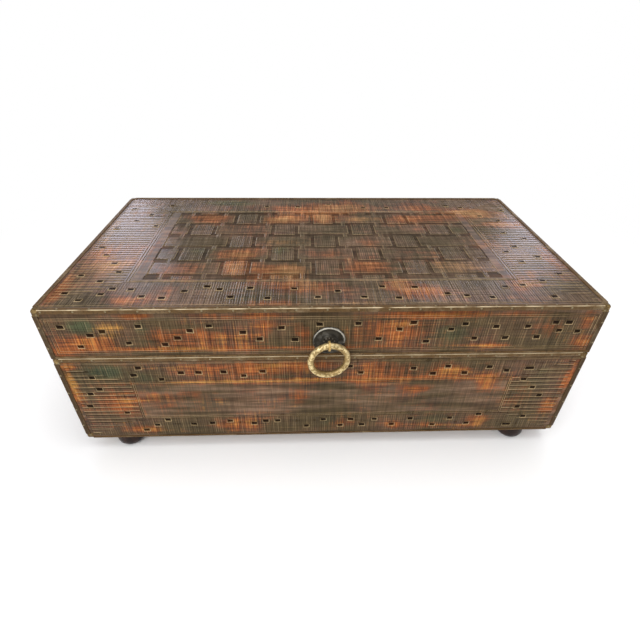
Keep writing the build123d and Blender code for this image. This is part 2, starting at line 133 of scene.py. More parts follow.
def cloud(tree, vector, scale=1.0, detail=3.0, roughness=0.55):
    node = tree.nodes.new("ShaderNodeTexNoise")
    for name, value in (("Vector", vector), ("Scale", scale), ("Detail", detail), ("Roughness", roughness)):
        plug(tree, node.inputs[name], value)
    return node.outputs[0]


# A value carried from the range low to high into another range, and held at its ends
def between(tree, value, low, high, toLow=0.0, toHigh=1.0):
    node = tree.nodes.new("ShaderNodeMapRange")
    node.clamp = True
    for socket, number in zip(node.inputs[:5], (value, low, high, toLow, toHigh)):
        plug(tree, socket, number)
    return node.outputs[0]


def attributeOf(tree, name, part):
    node = tree.nodes.new("ShaderNodeAttribute")
    node.attribute_name = name
    return node.outputs[part]


def objectPlace(tree):
    return tree.nodes.new("ShaderNodeTexCoord").outputs["Object"]


# The three channels of a layer of the mesh
def channelsOf(tree, name):
    node = tree.nodes.new("ShaderNodeSeparateColor")
    plug(tree, node.inputs[0], attributeOf(tree, name, "Color"))
    return node.outputs[:3]


# A grey of that value as a colour
def greyOf(tree, value):
    node = tree.nodes.new("ShaderNodeCombineColor")
    for socket in node.inputs[:3]:
        plug(tree, socket, value)
    return node.outputs[0]


def raised(tree, height, strength, distance):
    node = tree.nodes.new("ShaderNodeBump")
    plug(tree, node.inputs["Height"], height)
    node.inputs["Strength"].default_value = strength
    node.inputs["Distance"].default_value = distance
    return node.outputs[0]


# Painted leather: brushed olive and umber ground, rust, ochre and green rubbed in, gilt lines, and painted
# shade in the grooves, gaps and along the edging.
# Marks and patches are given as changes per metre across and upwards; a share or a shade as the range that
# it reads and the range that it gives; a rag as how much of it is brush marks, and its reach.
leatherLooks = {
    "olive": (0.090, 0.061, 0.027), "umber": (0.094, 0.052, 0.028), "plum": (0.080, 0.050, 0.038),
    "dusty": (0.175, 0.112, 0.072), "rust": (0.345, 0.102, 0.023), "redBrown": (0.185, 0.050, 0.016),
    "ochre": (0.430, 0.215, 0.046), "green": (0.054, 0.067, 0.031), "gilt": (0.460, 0.330, 0.170),
    # The groove colour is the colour of the painted shade
    "groove": (0.010, 0.006, 0.004),
    "fineMarks": ((460.0, 13.0), (13.0, 460.0)), "broadMarks": ((101.2, 10.4), (6.5, 73.6)),
    "goldMarks": ((161.0, 11.7), (5.2, 101.2)), "patches": (8.0, 11.0), "drift": (5.0, 7.0),
    "sweeps": (5.0, 55.0),
    "umberShare": (0.42, 0.60), "plumShare": (0.50, 0.66, 0, 0.75), "dustyShare": (0.42, 0.66, 0, 0.75),
    "greenShare": (0.25, 0.75, 0, 0.9), "redBrownShare": (0.10, 0.66, 0, 0.85),
    "rustShare": (0.48, 1.15, 0, 0.95), "ochreShare": (0.26, 1.05, 0, 0.9),
    "giltShare": (0.36, 0.56, 0.3, 1.0), "paintedShadeShare": (0.0, 1.0, 0, 0.94),
    "fineShade": (0.36, 0.62, -0.55, 0.50), "broadShade": (0.38, 0.60, 0.70, 1.16),
    "driftShade": (0.36, 0.64, 0.78, 1.20), "sweepShade": (0.36, 0.62, -0.26, 0.22),
    "greenRag": (0.5, 2.0), "rustRag": (0.42, 3.6), "ochreRag": (0.6, 4.0), "fineInRag": 0.35,
    "rustWarmth": 0.30, "calmShade": 0.4,
    "roughness": 0.30, "smoother": 0.07, "rougher": 0.12, "calmRougher": 0.17,
    "grooveSpecular": (0.05, 0.6, 0.12, 0.01), "bump": (0.5, 0.0006),
}
# Painted light and sheen on the top: the lid's top gets lighter, greyer tones than the sides, and is glossier
litTopTones = {
    "olive": (0.108, 0.080, 0.049), "umber": (0.114, 0.073, 0.049), "plum": (0.096, 0.064, 0.052),
    "rust": (0.300, 0.106, 0.038), "redBrown": (0.178, 0.066, 0.033), "ochre": (0.310, 0.168, 0.074),
    "roughness": 0.20,
}


def leatherMaterial(name, seed, tones):
    looks = {**leatherLooks, **tones}
    material, tree, surface = freshMaterial(name)
    place = attributeOf(tree, "place", "Vector")
    rustStain, ochreStain, greenStain = channelsOf(tree, "stain")
    giltLine, paintedShade, calm = channelsOf(tree, "tooling")
    shift = (seed * 3.7, seed * 1.9, seed)
    other = (seed * 2.3 + 5, seed * 4.1 + 9, seed + 4)

    def brushed(size, offset, detail=3, roughness=0.55):
        return cloud(tree, stretched(tree, place, (*size, 1), offset), 1.0, detail, roughness)

    # Brush marks that cross: the mean of an upright and a level set
    def crossed(sizes, offset, detail=3):
        upright, level = [brushed(size, offset, detail) for size in sizes]
        return times(tree, plus(tree, upright, level), 0.5)

    fine = crossed(looks["fineMarks"], shift, 2)
    broad = crossed(looks["broadMarks"], shift)
    gold = crossed(looks["goldMarks"], other)
    patches = brushed(looks["patches"], shift, 5, 0.62)
    drift = brushed(looks["drift"], other, 4)
    sweeps = brushed(looks["sweeps"], other, 4, 0.6)

    def ramp(name, value):
        return between(tree, value, *looks[name])

    # A stain with a ragged edge: marks and patches above or below their middle raise or lower it
    def ragged(stain, marks, rag):
        share, reach = looks[rag]
        mixed = plus(tree, times(tree, marks, share), times(tree, patches, 1 - share))
        fineEdge = times(tree, minus(tree, fine, 0.5), reach * looks["fineInRag"])
        return plus(tree, stain, times(tree, minus(tree, mixed, 0.5), reach), fineEdge)

    rustCover = ragged(rustStain, broad, "rustRag")
    warmed = plus(tree, ochreStain, times(tree, rustStain, looks["rustWarmth"]))
    shares = {
        "umber": ramp("umberShare", drift),
        "plum": ramp("plumShare", patches),
        "dusty": times(tree, ramp("dustyShare", sweeps), calm),
        "green": ramp("greenShare", ragged(greenStain, broad, "greenRag")),
        "redBrown": ramp("redBrownShare", rustCover),
        "rust": ramp("rustShare", rustCover),
        "ochre": ramp("ochreShare", ragged(warmed, gold, "ochreRag")),
    }
    colour = looks["olive"]
    for tone, share in shares.items():
        colour = blendColour(tree, share, colour, looks[tone])
    busy = minus(tree, 1.0, times(tree, calm, looks["calmShade"]))
    marked = plus(tree, 1.0, times(tree, ramp("fineShade", fine), busy))
    swept = plus(tree, 1.0, times(tree, ramp("sweepShade", sweeps), calm))
    shade = times(tree, marked, ramp("broadShade", broad), ramp("driftShade", drift), swept)
    colour = blendColour(tree, 1.0, colour, greyOf(tree, shade), "MULTIPLY")
    colour = blendColour(tree, times(tree, giltLine, ramp("giltShare", broad)), colour, looks["gilt"])
    # Painted shade: grooves, gaps, dropped ends and plain strips along the edging are darkened towards the
    # groove colour
    colour = blendColour(tree, ramp("paintedShadeShare", paintedShade), colour, looks["groove"])
    smoothest, roughest = looks["roughness"] - looks["smoother"], looks["roughness"] + looks["rougher"]
    rough = between(tree, broad, 0.3, 0.7, smoothest, roughest)
    rough = plus(tree, rough, times(tree, calm, looks["calmRougher"]))
    plug(tree, surface.inputs["Base Color"], colour)
    plug(tree, surface.inputs["Roughness"], rough)
    plug(tree, surface.inputs["Specular IOR Level"], ramp("grooveSpecular", paintedShade))
    plug(tree, surface.inputs["Normal"], raised(tree, fine, *looks["bump"]))
    return material


# Metals: a body colour, a brighter worn colour that on the ring and plate is also painted highlight, a dark
# patina in the pits; grain in changes per metre
metalLooks = {
    "bronzeEdging": dict(body=(0.118, 0.066, 0.024), wornAndHighlight=(0.58, 0.47, 0.30), dark=(0.022, 0.013, 0.007),
                         metallic=0.20, roughness=0.50, grain=90, pits=0.60, gloss=0.16),
    "cornerCaps": dict(body=(0.170, 0.105, 0.034), wornAndHighlight=(0.52, 0.36, 0.14), dark=(0.024, 0.015, 0.008),
                       metallic=0.45, roughness=0.44, grain=230, pits=0.95, gloss=0.30),
    "tackBrass": dict(body=(0.22, 0.175, 0.095), wornAndHighlight=(0.60, 0.52, 0.34), dark=(0.07, 0.045, 0.022),
                      metallic=0.70, roughness=0.36, grain=400, pits=0.30, gloss=0.35),
    "ringBrass": dict(body=(0.380, 0.256, 0.095), wornAndHighlight=(0.89, 0.72, 0.38), dark=(0.040, 0.022, 0.010),
                      metallic=0.60, roughness=0.34, grain=420, pits=0.80, gloss=0.50),
    "eyeBrass": dict(body=(0.560, 0.370, 0.130), wornAndHighlight=(0.90, 0.70, 0.36), dark=(0.10, 0.06, 0.02),
                     metallic=0.60, roughness=0.36, grain=300, pits=0.30, gloss=0.50),
    "blackCasting": dict(body=(0.040, 0.034, 0.024), wornAndHighlight=(0.52, 0.49, 0.42), dark=(0.006, 0.006, 0.005),
                         metallic=0.60, roughness=0.36, grain=300, pits=0.40, gloss=0.40),
    "hingeBrass": dict(body=(0.40, 0.29, 0.11), wornAndHighlight=(0.62, 0.48, 0.22), dark=(0.11, 0.07, 0.03),
                       metallic=0.90, roughness=0.34, grain=120, pits=0.35, gloss=0.35),
    "stayIron": dict(body=(0.060, 0.056, 0.050), wornAndHighlight=(0.24, 0.22, 0.19), dark=(0.020, 0.016, 0.012),
                     metallic=0.80, roughness=0.42, grain=120, pits=0.40, gloss=0.35),
}
metalAging = {
    "broadScale": 0.25, "fineScale": 2.2, "drift": 9.0,
    "brightened": (0.48, 0.72, 0, 0.3), "settled": (0.35, 0.65, 0.65, 0.0),
    "pitDepth": 0.2, "pitEdge": (0.36, 0.30), "pitMore": 0.3, "wearRag": 1.2,
    "rubbed": (0.45, 0.95), "sunk": (-1.0, -0.1, 0.85, 0.0),
    "smoother": 0.06, "rougher": 0.16, "bump": (0.45, 0.0004),
}


def metalMaterial(name):
    looks, aging = metalLooks[name], metalAging
    material, tree, surface = freshMaterial(name)
    place = objectPlace(tree)
    wear = attributeOf(tree, "wear", "Fac")
    broad = cloud(tree, place, looks["grain"] * aging["broadScale"], 4, 0.6)
    fine = cloud(tree, place, looks["grain"] * aging["fineScale"], 4, 0.65)
    drift = cloud(tree, place, aging["drift"], 3)
    pitStart, pitFull = aging["pitEdge"]
    pitted = between(tree, fine, pitStart + aging["pitDepth"] * looks["pits"], pitFull)
    rubbed = plus(tree, wear, times(tree, minus(tree, broad, 0.5), aging["wearRag"]))
    colour = blendColour(tree, between(tree, broad, *aging["brightened"]), looks["body"], looks["wornAndHighlight"])
    colour = blendColour(tree, between(tree, drift, *aging["settled"]), colour, looks["body"])
    pitShare = maths(tree, "MULTIPLY", pitted, looks["pits"] + aging["pitMore"], True)
    colour = blendColour(tree, pitShare, colour, looks["dark"])
    # Where the layer is high the worn colour shows, and where it is far below nought the dark: real wear and
    # patina, and on the ring and plate painted highlight and shade
    colour = blendColour(tree, between(tree, rubbed, *aging["rubbed"]), colour, looks["wornAndHighlight"])
    colour = blendColour(tree, between(tree, wear, *aging["sunk"]), colour, looks["dark"])
    smoothest, roughest = looks["roughness"] - aging["smoother"], looks["roughness"] + aging["rougher"]
    plug(tree, surface.inputs["Base Color"], colour)
    plug(tree, surface.inputs["Roughness"], between(tree, fine, 0.3, 0.7, smoothest, roughest))
    plug(tree, surface.inputs["Normal"], raised(tree, fine, *aging["bump"]))
    surface.inputs["Metallic"].default_value = looks["metallic"]
    surface.inputs["Specular IOR Level"].default_value = looks["gloss"]
    return material


# Camphor wood: straight reddish figure along one axis, fine pores; scales in changes per metre
woodLooks = {
    "pale": (0.42, 0.235, 0.115), "ruddy": (0.29, 0.125, 0.058), "pore": (0.11, 0.048, 0.024),
    "figureAlong": 2.2, "figureAcross": 34.0, "poreAlong": 24.0, "poreAcross": 900.0, "rings": 7.0,
    "ruddyShare": (0.15, 0.9), "paleShare": (0.35, 0.65, 0, 0.5), "poreShare": (0.42, 0.30, 0, 0.75),
    "roughness": (0.3, 0.6, 0.62, 0.46), "bump": (0.25, 0.0004),
}


def woodMaterial(name, along):
    looks = woodLooks
    material, tree, surface = freshMaterial(name)
    place = objectPlace(tree)

    def grained(alongScale, acrossScale, detail, roughness=0.55):
        scale = tuple(alongScale if axis == along else acrossScale for axis in range(3))
        return cloud(tree, stretched(tree, place, scale), 1, detail, roughness)

    rings = grained(looks["figureAlong"], looks["figureAcross"], 5, 0.6)
    pores = grained(looks["poreAlong"], looks["poreAcross"], 2)
    figure = maths(tree, "FRACT", times(tree, rings, looks["rings"]))
    colour = blendColour(tree, between(tree, figure, *looks["ruddyShare"]), looks["pale"], looks["ruddy"])
    colour = blendColour(tree, between(tree, rings, *looks["paleShare"]), colour, looks["pale"])
    colour = blendColour(tree, between(tree, pores, *looks["poreShare"]), colour, looks["pore"])
    plug(tree, surface.inputs["Base Color"], colour)
    plug(tree, surface.inputs["Roughness"], between(tree, pores, *looks["roughness"]))
    plug(tree, surface.inputs["Normal"], raised(tree, pores, *looks["bump"]))
    return material


# Dark lacquer on turned wood, rubbed through here and there
lacquerLooks = {
    "dark": (0.009, 0.005, 0.004), "red": (0.034, 0.014, 0.009), "rubbed": (0.12, 0.06, 0.03),
    "grain": (60, 60, 9), "rubs": 70, "redShare": (0.4, 0.7), "rubbedShare": (0.66, 0.76, 0, 0.6),
    "roughness": (0.3, 0.7, 0.24, 0.42), "gloss": 0.22, "bump": (0.15, 0.0006),
}


def lacquerMaterial(name):
    looks = lacquerLooks
    material, tree, surface = freshMaterial(name)
    place = objectPlace(tree)
    grain = cloud(tree, stretched(tree, place, looks["grain"]), 1, 4)
    rubs = cloud(tree, place, looks["rubs"], 4)
    colour = blendColour(tree, between(tree, grain, *looks["redShare"]), looks["dark"], looks["red"])
    colour = blendColour(tree, between(tree, rubs, *looks["rubbedShare"]), colour, looks["rubbed"])
    plug(tree, surface.inputs["Base Color"], colour)
    plug(tree, surface.inputs["Roughness"], between(tree, rubs, *looks["roughness"]))
    plug(tree, surface.inputs["Normal"], raised(tree, grain, *looks["bump"]))
    surface.inputs["Specular IOR Level"].default_value = looks["gloss"]
    return material


leathers = {side: leatherMaterial(f"{side}Leather", seed, litTopTones if side == "top" else {})
            for seed, side in enumerate(("top", *sides))}
metals = {name: metalMaterial(name) for name in metalLooks}
camphor = {"alongX": woodMaterial("camphorAlongX", 0), "alongY": woodMaterial("camphorAlongY", 1)}
lacquer = lacquerMaterial("footLacquer")
print("materials made")


# Mesh helpers. A patch is a grid of points with its named layers; patches of one piece become one mesh.

def patch(points, layers=None, wrapRows=False, wrapColumns=False):
    return {"points": points, "layers": layers or {}, "wrapRows": wrapRows, "wrapColumns": wrapColumns}


# The quads of a rows x columns grid, turning from the rows' way to the columns' way
def gridFaces(rows, columns, wrapRows, wrapColumns):
    index = np.arange(rows * columns).reshape(rows, columns)
    if wrapRows:
        index = np.vstack([index, index[:1]])
    if wrapColumns:
        index = np.hstack([index, index[:, :1]])
    quads = np.stack([index[:-1, :-1], index[1:, :-1], index[1:, 1:], index[:-1, 1:]], axis=-1)
    return quads.reshape(-1, 4)


# How each layer of the points is kept: its type, its field and its width
layerKinds = {"place": ("FLOAT_VECTOR", "vector", 3), "stain": ("FLOAT_COLOR", "color", 3),
              "tooling": ("FLOAT_COLOR", "color", 3), "wear": ("FLOAT", "value", 1)}


# One mesh object from patches in millimetres, with layers on its points; edges sharper than crease stay sharp
def buildPiece(name, patches, body, material, replaced, crease=50):
    points, quads, start = [], [], 0
    layers = {key: [] for key in sorted({key for each in patches for key in each["layers"]})}
    for each in patches:
        rows, columns = each["points"].shape[:2]
        points.append(each["points"].reshape(-1, 3))
        quads.append(gridFaces(rows, columns, each["wrapRows"], each["wrapColumns"]) + start)
        for key, gathered in layers.items():
            width = layerKinds[key][2]
            value = np.asarray(each["layers"].get(key, np.zeros((1, 1, width))), float)
            value = value.reshape(*value.shape[:2], width)
            gathered.append(np.broadcast_to(value, (rows, columns, width)).reshape(-1, width))
        start += rows * columns
    points = np.concatenate(points) * mm
    quads = np.concatenate(quads)
    mesh = bpy.data.meshes.new(name)
    mesh.vertices.add(len(points))
    mesh.vertices.foreach_set("co", points.astype(np.float32).ravel())
    mesh.loops.add(quads.size)
    mesh.loops.foreach_set("vertex_index", quads.astype(np.int32).ravel())
    mesh.polygons.add(len(quads))
    mesh.polygons.foreach_set("loop_start", np.arange(0, quads.size, 4, dtype=np.int32))
    mesh.polygons.foreach_set("use_smooth", np.ones(len(quads), bool))
    mesh.update(calc_edges=True)
    for key, rows in layers.items():
        kind, field, _ = layerKinds[key]
        value = np.concatenate(rows)
        if key == "place":
            value = value * mm
        if field == "color":
            value = np.hstack([value, np.ones((len(value), 1))])
        layer = mesh.attributes.new(key, kind, "POINT")
        layer.data.foreach_set(field, value.astype(np.float32).ravel())
    mesh.validate()
    mesh.materials.append(material)
    piece = bpy.data.objects.new(name, mesh)
    bpy.context.scene.collection.objects.link(piece)
    mesh.set_sharp_from_angle(angle=math.radians(crease))
    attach(piece, body)
    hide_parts(*replaced)


# A smooth wandering value between -1 and 1: a sum of sines of stated lengths with seeded phases
def wander(values, seed, lengths):
    draws = np.random.default_rng(seed)
    total = 0
    for length in lengths:
        total = total + np.sin(values * (2 * math.pi / length) + draws.uniform(0, 2 * math.pi))
    return total / len(lengths)


# Faces of the trunk. Seen from outside, u runs to the right and v upwards; h goes out of the leather's plane.

def trunkFace(side, low):
    nearX, nearY = leftX + metalThickness, frontY + metalThickness
    farX, farY = rightX - metalThickness, backY - metalThickness
    origin, across, upward = {
        "top": ((leftX, frontY, skinHigh[2]), (1, 0, 0), (0, 1, 0)),
        "front": ((leftX, nearY, low), (1, 0, 0), (0, 0, 1)),
        "back": ((rightX, farY, low), (-1, 0, 0), (0, 0, 1)),
        "left": ((nearX, backY, low), (0, -1, 0), (0, 0, 1)),
        "right": ((farX, frontY, low), (0, 1, 0), (0, 0, 1)),
    }[side]
    axes = [np.array(axis, float) for axis in (across, upward, np.cross(across, upward))]
    span = trunkDepth if side in ("left", "right") else trunkWidth
    return {"origin": np.array(origin, float), "axes": axes, "span": span}


# Points from face coordinates: origin + u * across + v * upward + h * outward
def onFace(face, u, v, h):
    u, v, h = np.broadcast_arrays(u, v, h)
    across, upward, outward = face["axes"]
    return face["origin"] + u[..., None] * across + v[..., None] * upward + h[..., None] * outward


# How strongly each rubbed-in colour covers a point: one minus the product of what each stain leaves bare
def stainCover(stains, u, v):
    cover = np.zeros((*np.shape(u), 3))
    for kind, x, y, reachX, reachY, strength in stains:
        fall = np.exp(-(((u - x) / reachX) ** 2 + ((v - y) / reachY) ** 2) ** 1.3)
        channel = {"rust": 0, "ochre": 1, "green": 2}[kind]
        cover[..., channel] = 1 - (1 - cover[..., channel]) * (1 - strength * fall)
    return cover


# A patch of the face: lays the three leather layers on a grid of face coordinates
def facePatch(face, stains, u, v, h, gilt=0.0, dark=0.0, seedShift=0.0, calm=0.0):
    u, v, h, gilt, dark = np.broadcast_arrays(u, v, h, gilt, dark)
    # The tooling layer: gilt, painted shade and plainness
    tooling = np.stack([gilt, dark, np.full_like(gilt, calm)], axis=-1)
    place = np.stack([u, v, h + seedShift], axis=-1)
    layers = {"stain": stainCover(stains, u, v), "tooling": tooling, "place": place}
    return patch(onFace(face, u, v, h), layers)


# Ruled lines of each kind: how far apart or how many, half the groove's width, its depth, half the gilt
# ridge's width, its rise, how unevenly the gilt is worn and the painted shade in the grooves falls, how
# bright the gilt is, and what is added to the seed
rulings = {
    "fine": dict(pitch=5.7, groove=0.75, depth=0.34, ridge=0.65, rise=0.16, fade=0.97, shine=0.55, shift=11),
    "wide": dict(pitch=13.4, groove=1.9, depth=1.00, ridge=1.50, rise=0.55, fade=0.45, shine=1.0, shift=23),
    "topWide": dict(pitch=11.7, groove=1.6, depth=0.90, ridge=1.0, rise=0.46, fade=0.45, shine=1.0, shift=37),
    "double": dict(lines=2, groove=0.8, depth=0.55, ridge=0.7, rise=0.50, fade=0.25, shine=1.0, shift=51),
    "tile": dict(pitch=5.3, groove=0.85, depth=0.34, ridge=0.6, rise=0.02, fade=0.5, shine=0.26, shift=0),
    "single": dict(lines=1, groove=0.5, depth=0.3, ridge=0.6, rise=0.5, fade=0.2, shine=1.0, shift=0),
}


# The section across ruled lines: a groove at each line with painted shade at its bottom, then a narrow gilt
# ridge beside it
def ruledSection(kind, low, high, seed):
    ruling = rulings[kind]
    groove, ridge, fade = ruling["groove"], ruling["ridge"], ruling["fade"]
    draws = np.random.default_rng(seed + ruling["shift"])
    pitch = ruling["pitch"] if "pitch" in ruling else (high - low) / ruling["lines"]
    count = max(1, int(round((high - low) / pitch)))
    centres = low + (np.arange(count) + 0.5) * (high - low) / count
    centres = centres + draws.uniform(-0.08, 0.08, count) * pitch
    deep = ruling["depth"] * draws.uniform(0.6, 1.15, count)
    bright = ruling["shine"] * ((1 - fade) + fade * draws.uniform(0, 1, count) ** 2.5)
    grooveShade = 1 - fade * draws.uniform(0, 0.9, count)
    nothing = np.zeros(count)
    stations = centres[:, None] + np.array([-groove, 0, groove, groove + ridge, groove + 2 * ridge])
    heights = (nothing, -deep, nothing, nothing + ruling["rise"], nothing)
    gilts = (nothing, nothing, 0.25 * bright, bright, nothing)
    paintedShades = (nothing, grooveShade, nothing, nothing, nothing)
    stations = np.clip(np.concatenate([[low], stations.ravel(), [high]]), low, high)
    return stations, *[np.pad(np.stack(value, axis=1).ravel(), 1) for value in (heights, gilts, paintedShades)]


# A grid with one more row and column all round, dropped to the ground so that its sides are closed
def skirted(u, v, h, gilt, dark, ground):
    u, v, gilt, dark = [np.pad(value, 1, mode="edge") for value in (u, v, gilt, dark)]
    h = np.pad(h, 1, mode="constant", constant_values=ground)
    return u, v, h, gilt, dark


# A ruled zone: lines at stations, each running from start to stop, bevelled at its ends, crowned across, with
# painted shade where its ends drop to the ground
def ruledZone(face, stains, section, start, stop, upright, level=0.0, bevel=0.7, drop=0.25, segments=4,
              crown=0.0, seed=0.0, rim=0.0):
    stations, heights, gilts, paintedShades = section
    start = np.broadcast_to(start, stations.shape)
    stop = np.maximum(np.broadcast_to(stop, stations.shape), start + 0.4)
    inset = np.minimum(bevel, (stop - start) * 0.3)
    lip = np.minimum(1.3, (stop - start) * 0.1)  # a short level run inside each bevel
    shares = np.linspace(0, 1, segments + 1)
    along = (start + inset + lip)[:, None] + (stop - start - 2 * inset - 2 * lip)[:, None] * shares
    ends = [start, start + inset, stop - inset, stop]
    along = np.hstack([ends[0][:, None], ends[1][:, None], along, ends[2][:, None], ends[3][:, None]])
    across = np.broadcast_to(stations[:, None], along.shape)
    middle, half = (stations[0] + stations[-1]) / 2, (stations[-1] - stations[0]) / 2
    bow = crown * (1 - ((stations - middle) / half) ** 4)
    height = level + (heights + bow)[:, None] + np.zeros_like(along)
    gilt = gilts[:, None] + np.zeros_like(along)
    dark = paintedShades[:, None] + np.zeros_like(along)
    if rim:
        gilt[:, [1, -2]] = np.maximum(gilt[:, [1, -2]], rim)
        gilt[[1, -2]] = np.maximum(gilt[[1, -2]], rim)
    for end in (0, -1):
        height[:, end] = level - drop
        gilt[:, end] *= 0.3
        dark[:, end] = np.maximum(dark[:, end], min(drop, 1.0))
        if crown:
            height[end] = level - drop
            dark[end] = np.maximum(dark[end], min(drop, 1.0))
    if not upright:
        across, along = along.T, across.T
        height, gilt, dark = height.T, gilt.T, dark.T
    grid = skirted(across, along, height, gilt, dark, coverLooks["ground"])
    return facePatch(face, stains, *grid, seedShift=seed)


# A frame of four mitred zones between two rectangles: left, right, low, high. Their lines cross the frame or
# run along it; the kinds of ruling are for the upright and the level zones.
def mitredFrame(face, stains, outer, inner, kinds, seeds, crossing, segments, drop=0.25):
    (u0, v0, u1, v1), (i0, j0, i1, j1) = outer, inner
    runs = ((u0, i0, v0, v1, j0, j1), (u1, i1, v0, v1, j0, j1),
            (v0, j0, u0, u1, i0, i1), (v1, j1, u0, u1, i0, i1))
    zones = []
    for number, (edge, far, low, high, innerLow, innerHigh) in enumerate(runs):
        level, pieces = number > 1, segments
        kind, seed = kinds[level], seeds[level] + number
        if crossing:
            section = ruledSection(kind, low, high, seed)
            fromLow = (section[0] - low) / (innerLow - low)
            fromHigh = (high - section[0]) / (high - innerHigh)
            reach = edge + (far - edge) * np.clip(np.minimum(fromLow, fromHigh), 0, 1)
            start, stop = np.minimum(edge, reach), np.maximum(edge, reach)
        else:
            section = ruledSection(kind, min(edge, far), max(edge, far), seed)
            share = np.abs(section[0] - edge) / abs(far - edge)
            start, stop = low + (innerLow - low) * share, high - (high - innerHigh) * share
            pieces = segments * (8 if level else 4)
        upright = crossing == level
        zones.append(ruledZone(face, stains, section, start, stop, upright, drop=drop, segments=pieces))
    return zones


# A double welt all round between two rectangles
def doubleWelt(face, stains, outer, inner, segments):
    return mitredFrame(face, stains, outer, inner, ("double", "double"), (0, 0), False, segments)


# A plain rectangle of leather, gently uneven, darkened with as much painted shade as given
def plainField(face, stains, u0, v0, u1, v1, level=0.0, step=9.0, seed=1, dark=0.0, sway=0.10):
    us = np.linspace(u0, u1, max(2, int((u1 - u0) / step) + 1))
    vs = np.linspace(v0, v1, max(2, int((v1 - v0) / step) + 1))
    u, v = np.meshgrid(us, vs, indexing="ij")
    h = level - sway + sway * wander(u + 0.4 * v, seed, (83, 37, 21)) * wander(v, seed + 1, (61, 29))
    grid = skirted(u, v, h, np.zeros_like(u), np.full_like(u, dark), coverLooks["ground"])
    return facePatch(face, stains, *grid, calm=1.0)


# Plain leather right across a face between two heights, and at both ends of a rectangle on it, darkened with
# as much painted shade as given
def plainStrip(face, stains, low, high, seed, dark):
    inset = coverLooks["arrisInset"]
    return plainField(face, stains, inset, low, face["span"] - inset, high, seed=seed, dark=dark)


def plainEnds(face, stains, outer, seed, dark=0.0):
    inset = coverLooks["arrisInset"]
    return [plainField(face, stains, low, outer[1], high, outer[3], seed=seed, dark=dark)
            for low, high in ((inset, outer[0]), (outer[2], face["span"] - inset))]


# Small stamped bricks: a rectangular tray with a floor painted dark as shade and a gilt rim with a painted
# highlight, brightest below and at the sides and in painted shade above.
# The rings go inwards: margin past the floor's edge, height, gilt, painted shade. The lift is the field's
# height.
brick = {
    "length": 13.2, "height": 8.8, "floor": 0.48, "skew": 0.8, "lift": 0.06,
    "rings": ((2.8, -0.35, 0.0, 0.3), (1.6, 0.98, 0.8, 0.0), (0.64, 0.98, 1.5, 0.0), (0.0, 0.58, 0.40, 0.6),
              (-0.7, 0.48, 0.0, 0.84)),
    "paintedSideLight": (1.0, 1.0, 0.55, 0.2),
}


def brickPatches(face, stains, places):
    made = []
    margins, heights, gilts, paintedShades = np.array(brick["rings"]).T
    corners = np.array([(-1, -1), (1, -1), (1, 1), (-1, 1)])
    draws = np.random.default_rng(len(places))
    for u, v, wide in places:
        size = np.array([brick["length"] * wide / 2, brick["height"] / 2]) * draws.uniform(0.92, 1.06)
        rings = [corners * (size + margin) for margin in margins] + [corners * 0.0]
        ring = np.array(rings) + draws.uniform(-1, 1, (1, 4, 2)) * brick["skew"]
        height = np.append(heights, brick["floor"])[:, None] + np.zeros(4) + brick["lift"]
        # Painted highlight and shade: the rim's gilt is full below and fades up the sides to the top, where
        # painted shade is added instead
        shine = np.array(brick["paintedSideLight"]) * draws.uniform(0.75, 1.0)
        gilt = np.append(gilts, 0.0)[:, None] * shine
        dark = np.append(paintedShades, 1.0)[:, None] + 0.35 * (1 - shine)
        grid = (ring[..., 0] + u, ring[..., 1] + v, height, gilt, np.minimum(dark, 1))
        each = facePatch(face, stains, *[value.T[::-1] for value in grid])
        each["wrapRows"] = True
        made.append(each)
    return made


# Every cover: how deep its relief is closed, how far it stays from the arrises, its sharp edges in degrees,
# and how dark its slab is painted as shade
coverLooks = {"ground": -1.15, "arrisInset": 4.2, "crease": 12, "slabShade": 0.8}


# The slab under the relief: four faces round it, closed at the middle of its lower and upper edges, painted
# dark as shade
def coverSlab(face):
    u0, u1 = coverLooks["arrisInset"], face["span"] - coverLooks["arrisInset"]
    us = np.array([u0, u0, u1, u1])[:, None] + np.zeros(4)
    ground = coverLooks["ground"]
    hs = np.array([-skinThickness, ground, ground, -skinThickness])[:, None] + np.zeros(4)
    vs = np.zeros(4)[:, None] + np.array([face["lowV"], face["lowV"], face["highV"], face["highV"]])
    us[:, [0, -1]] = (u0 + u1) / 2
    hs[:, [0, -1]] = -skinThickness
    layers = {"tooling": np.array([0, coverLooks["slabShade"], 0]) + np.zeros((*us.shape, 3)),
              "place": np.stack([us, vs, hs], axis=-1)}
    return patch(onFace(face, us, vs, hs), layers, wrapRows=True)


def layCover(body, side, parts):
    buildPiece(f"{body}_{side}_cover", parts, body, leathers[side],
               [f"{body}_{side}_leather"], coverLooks["crease"])
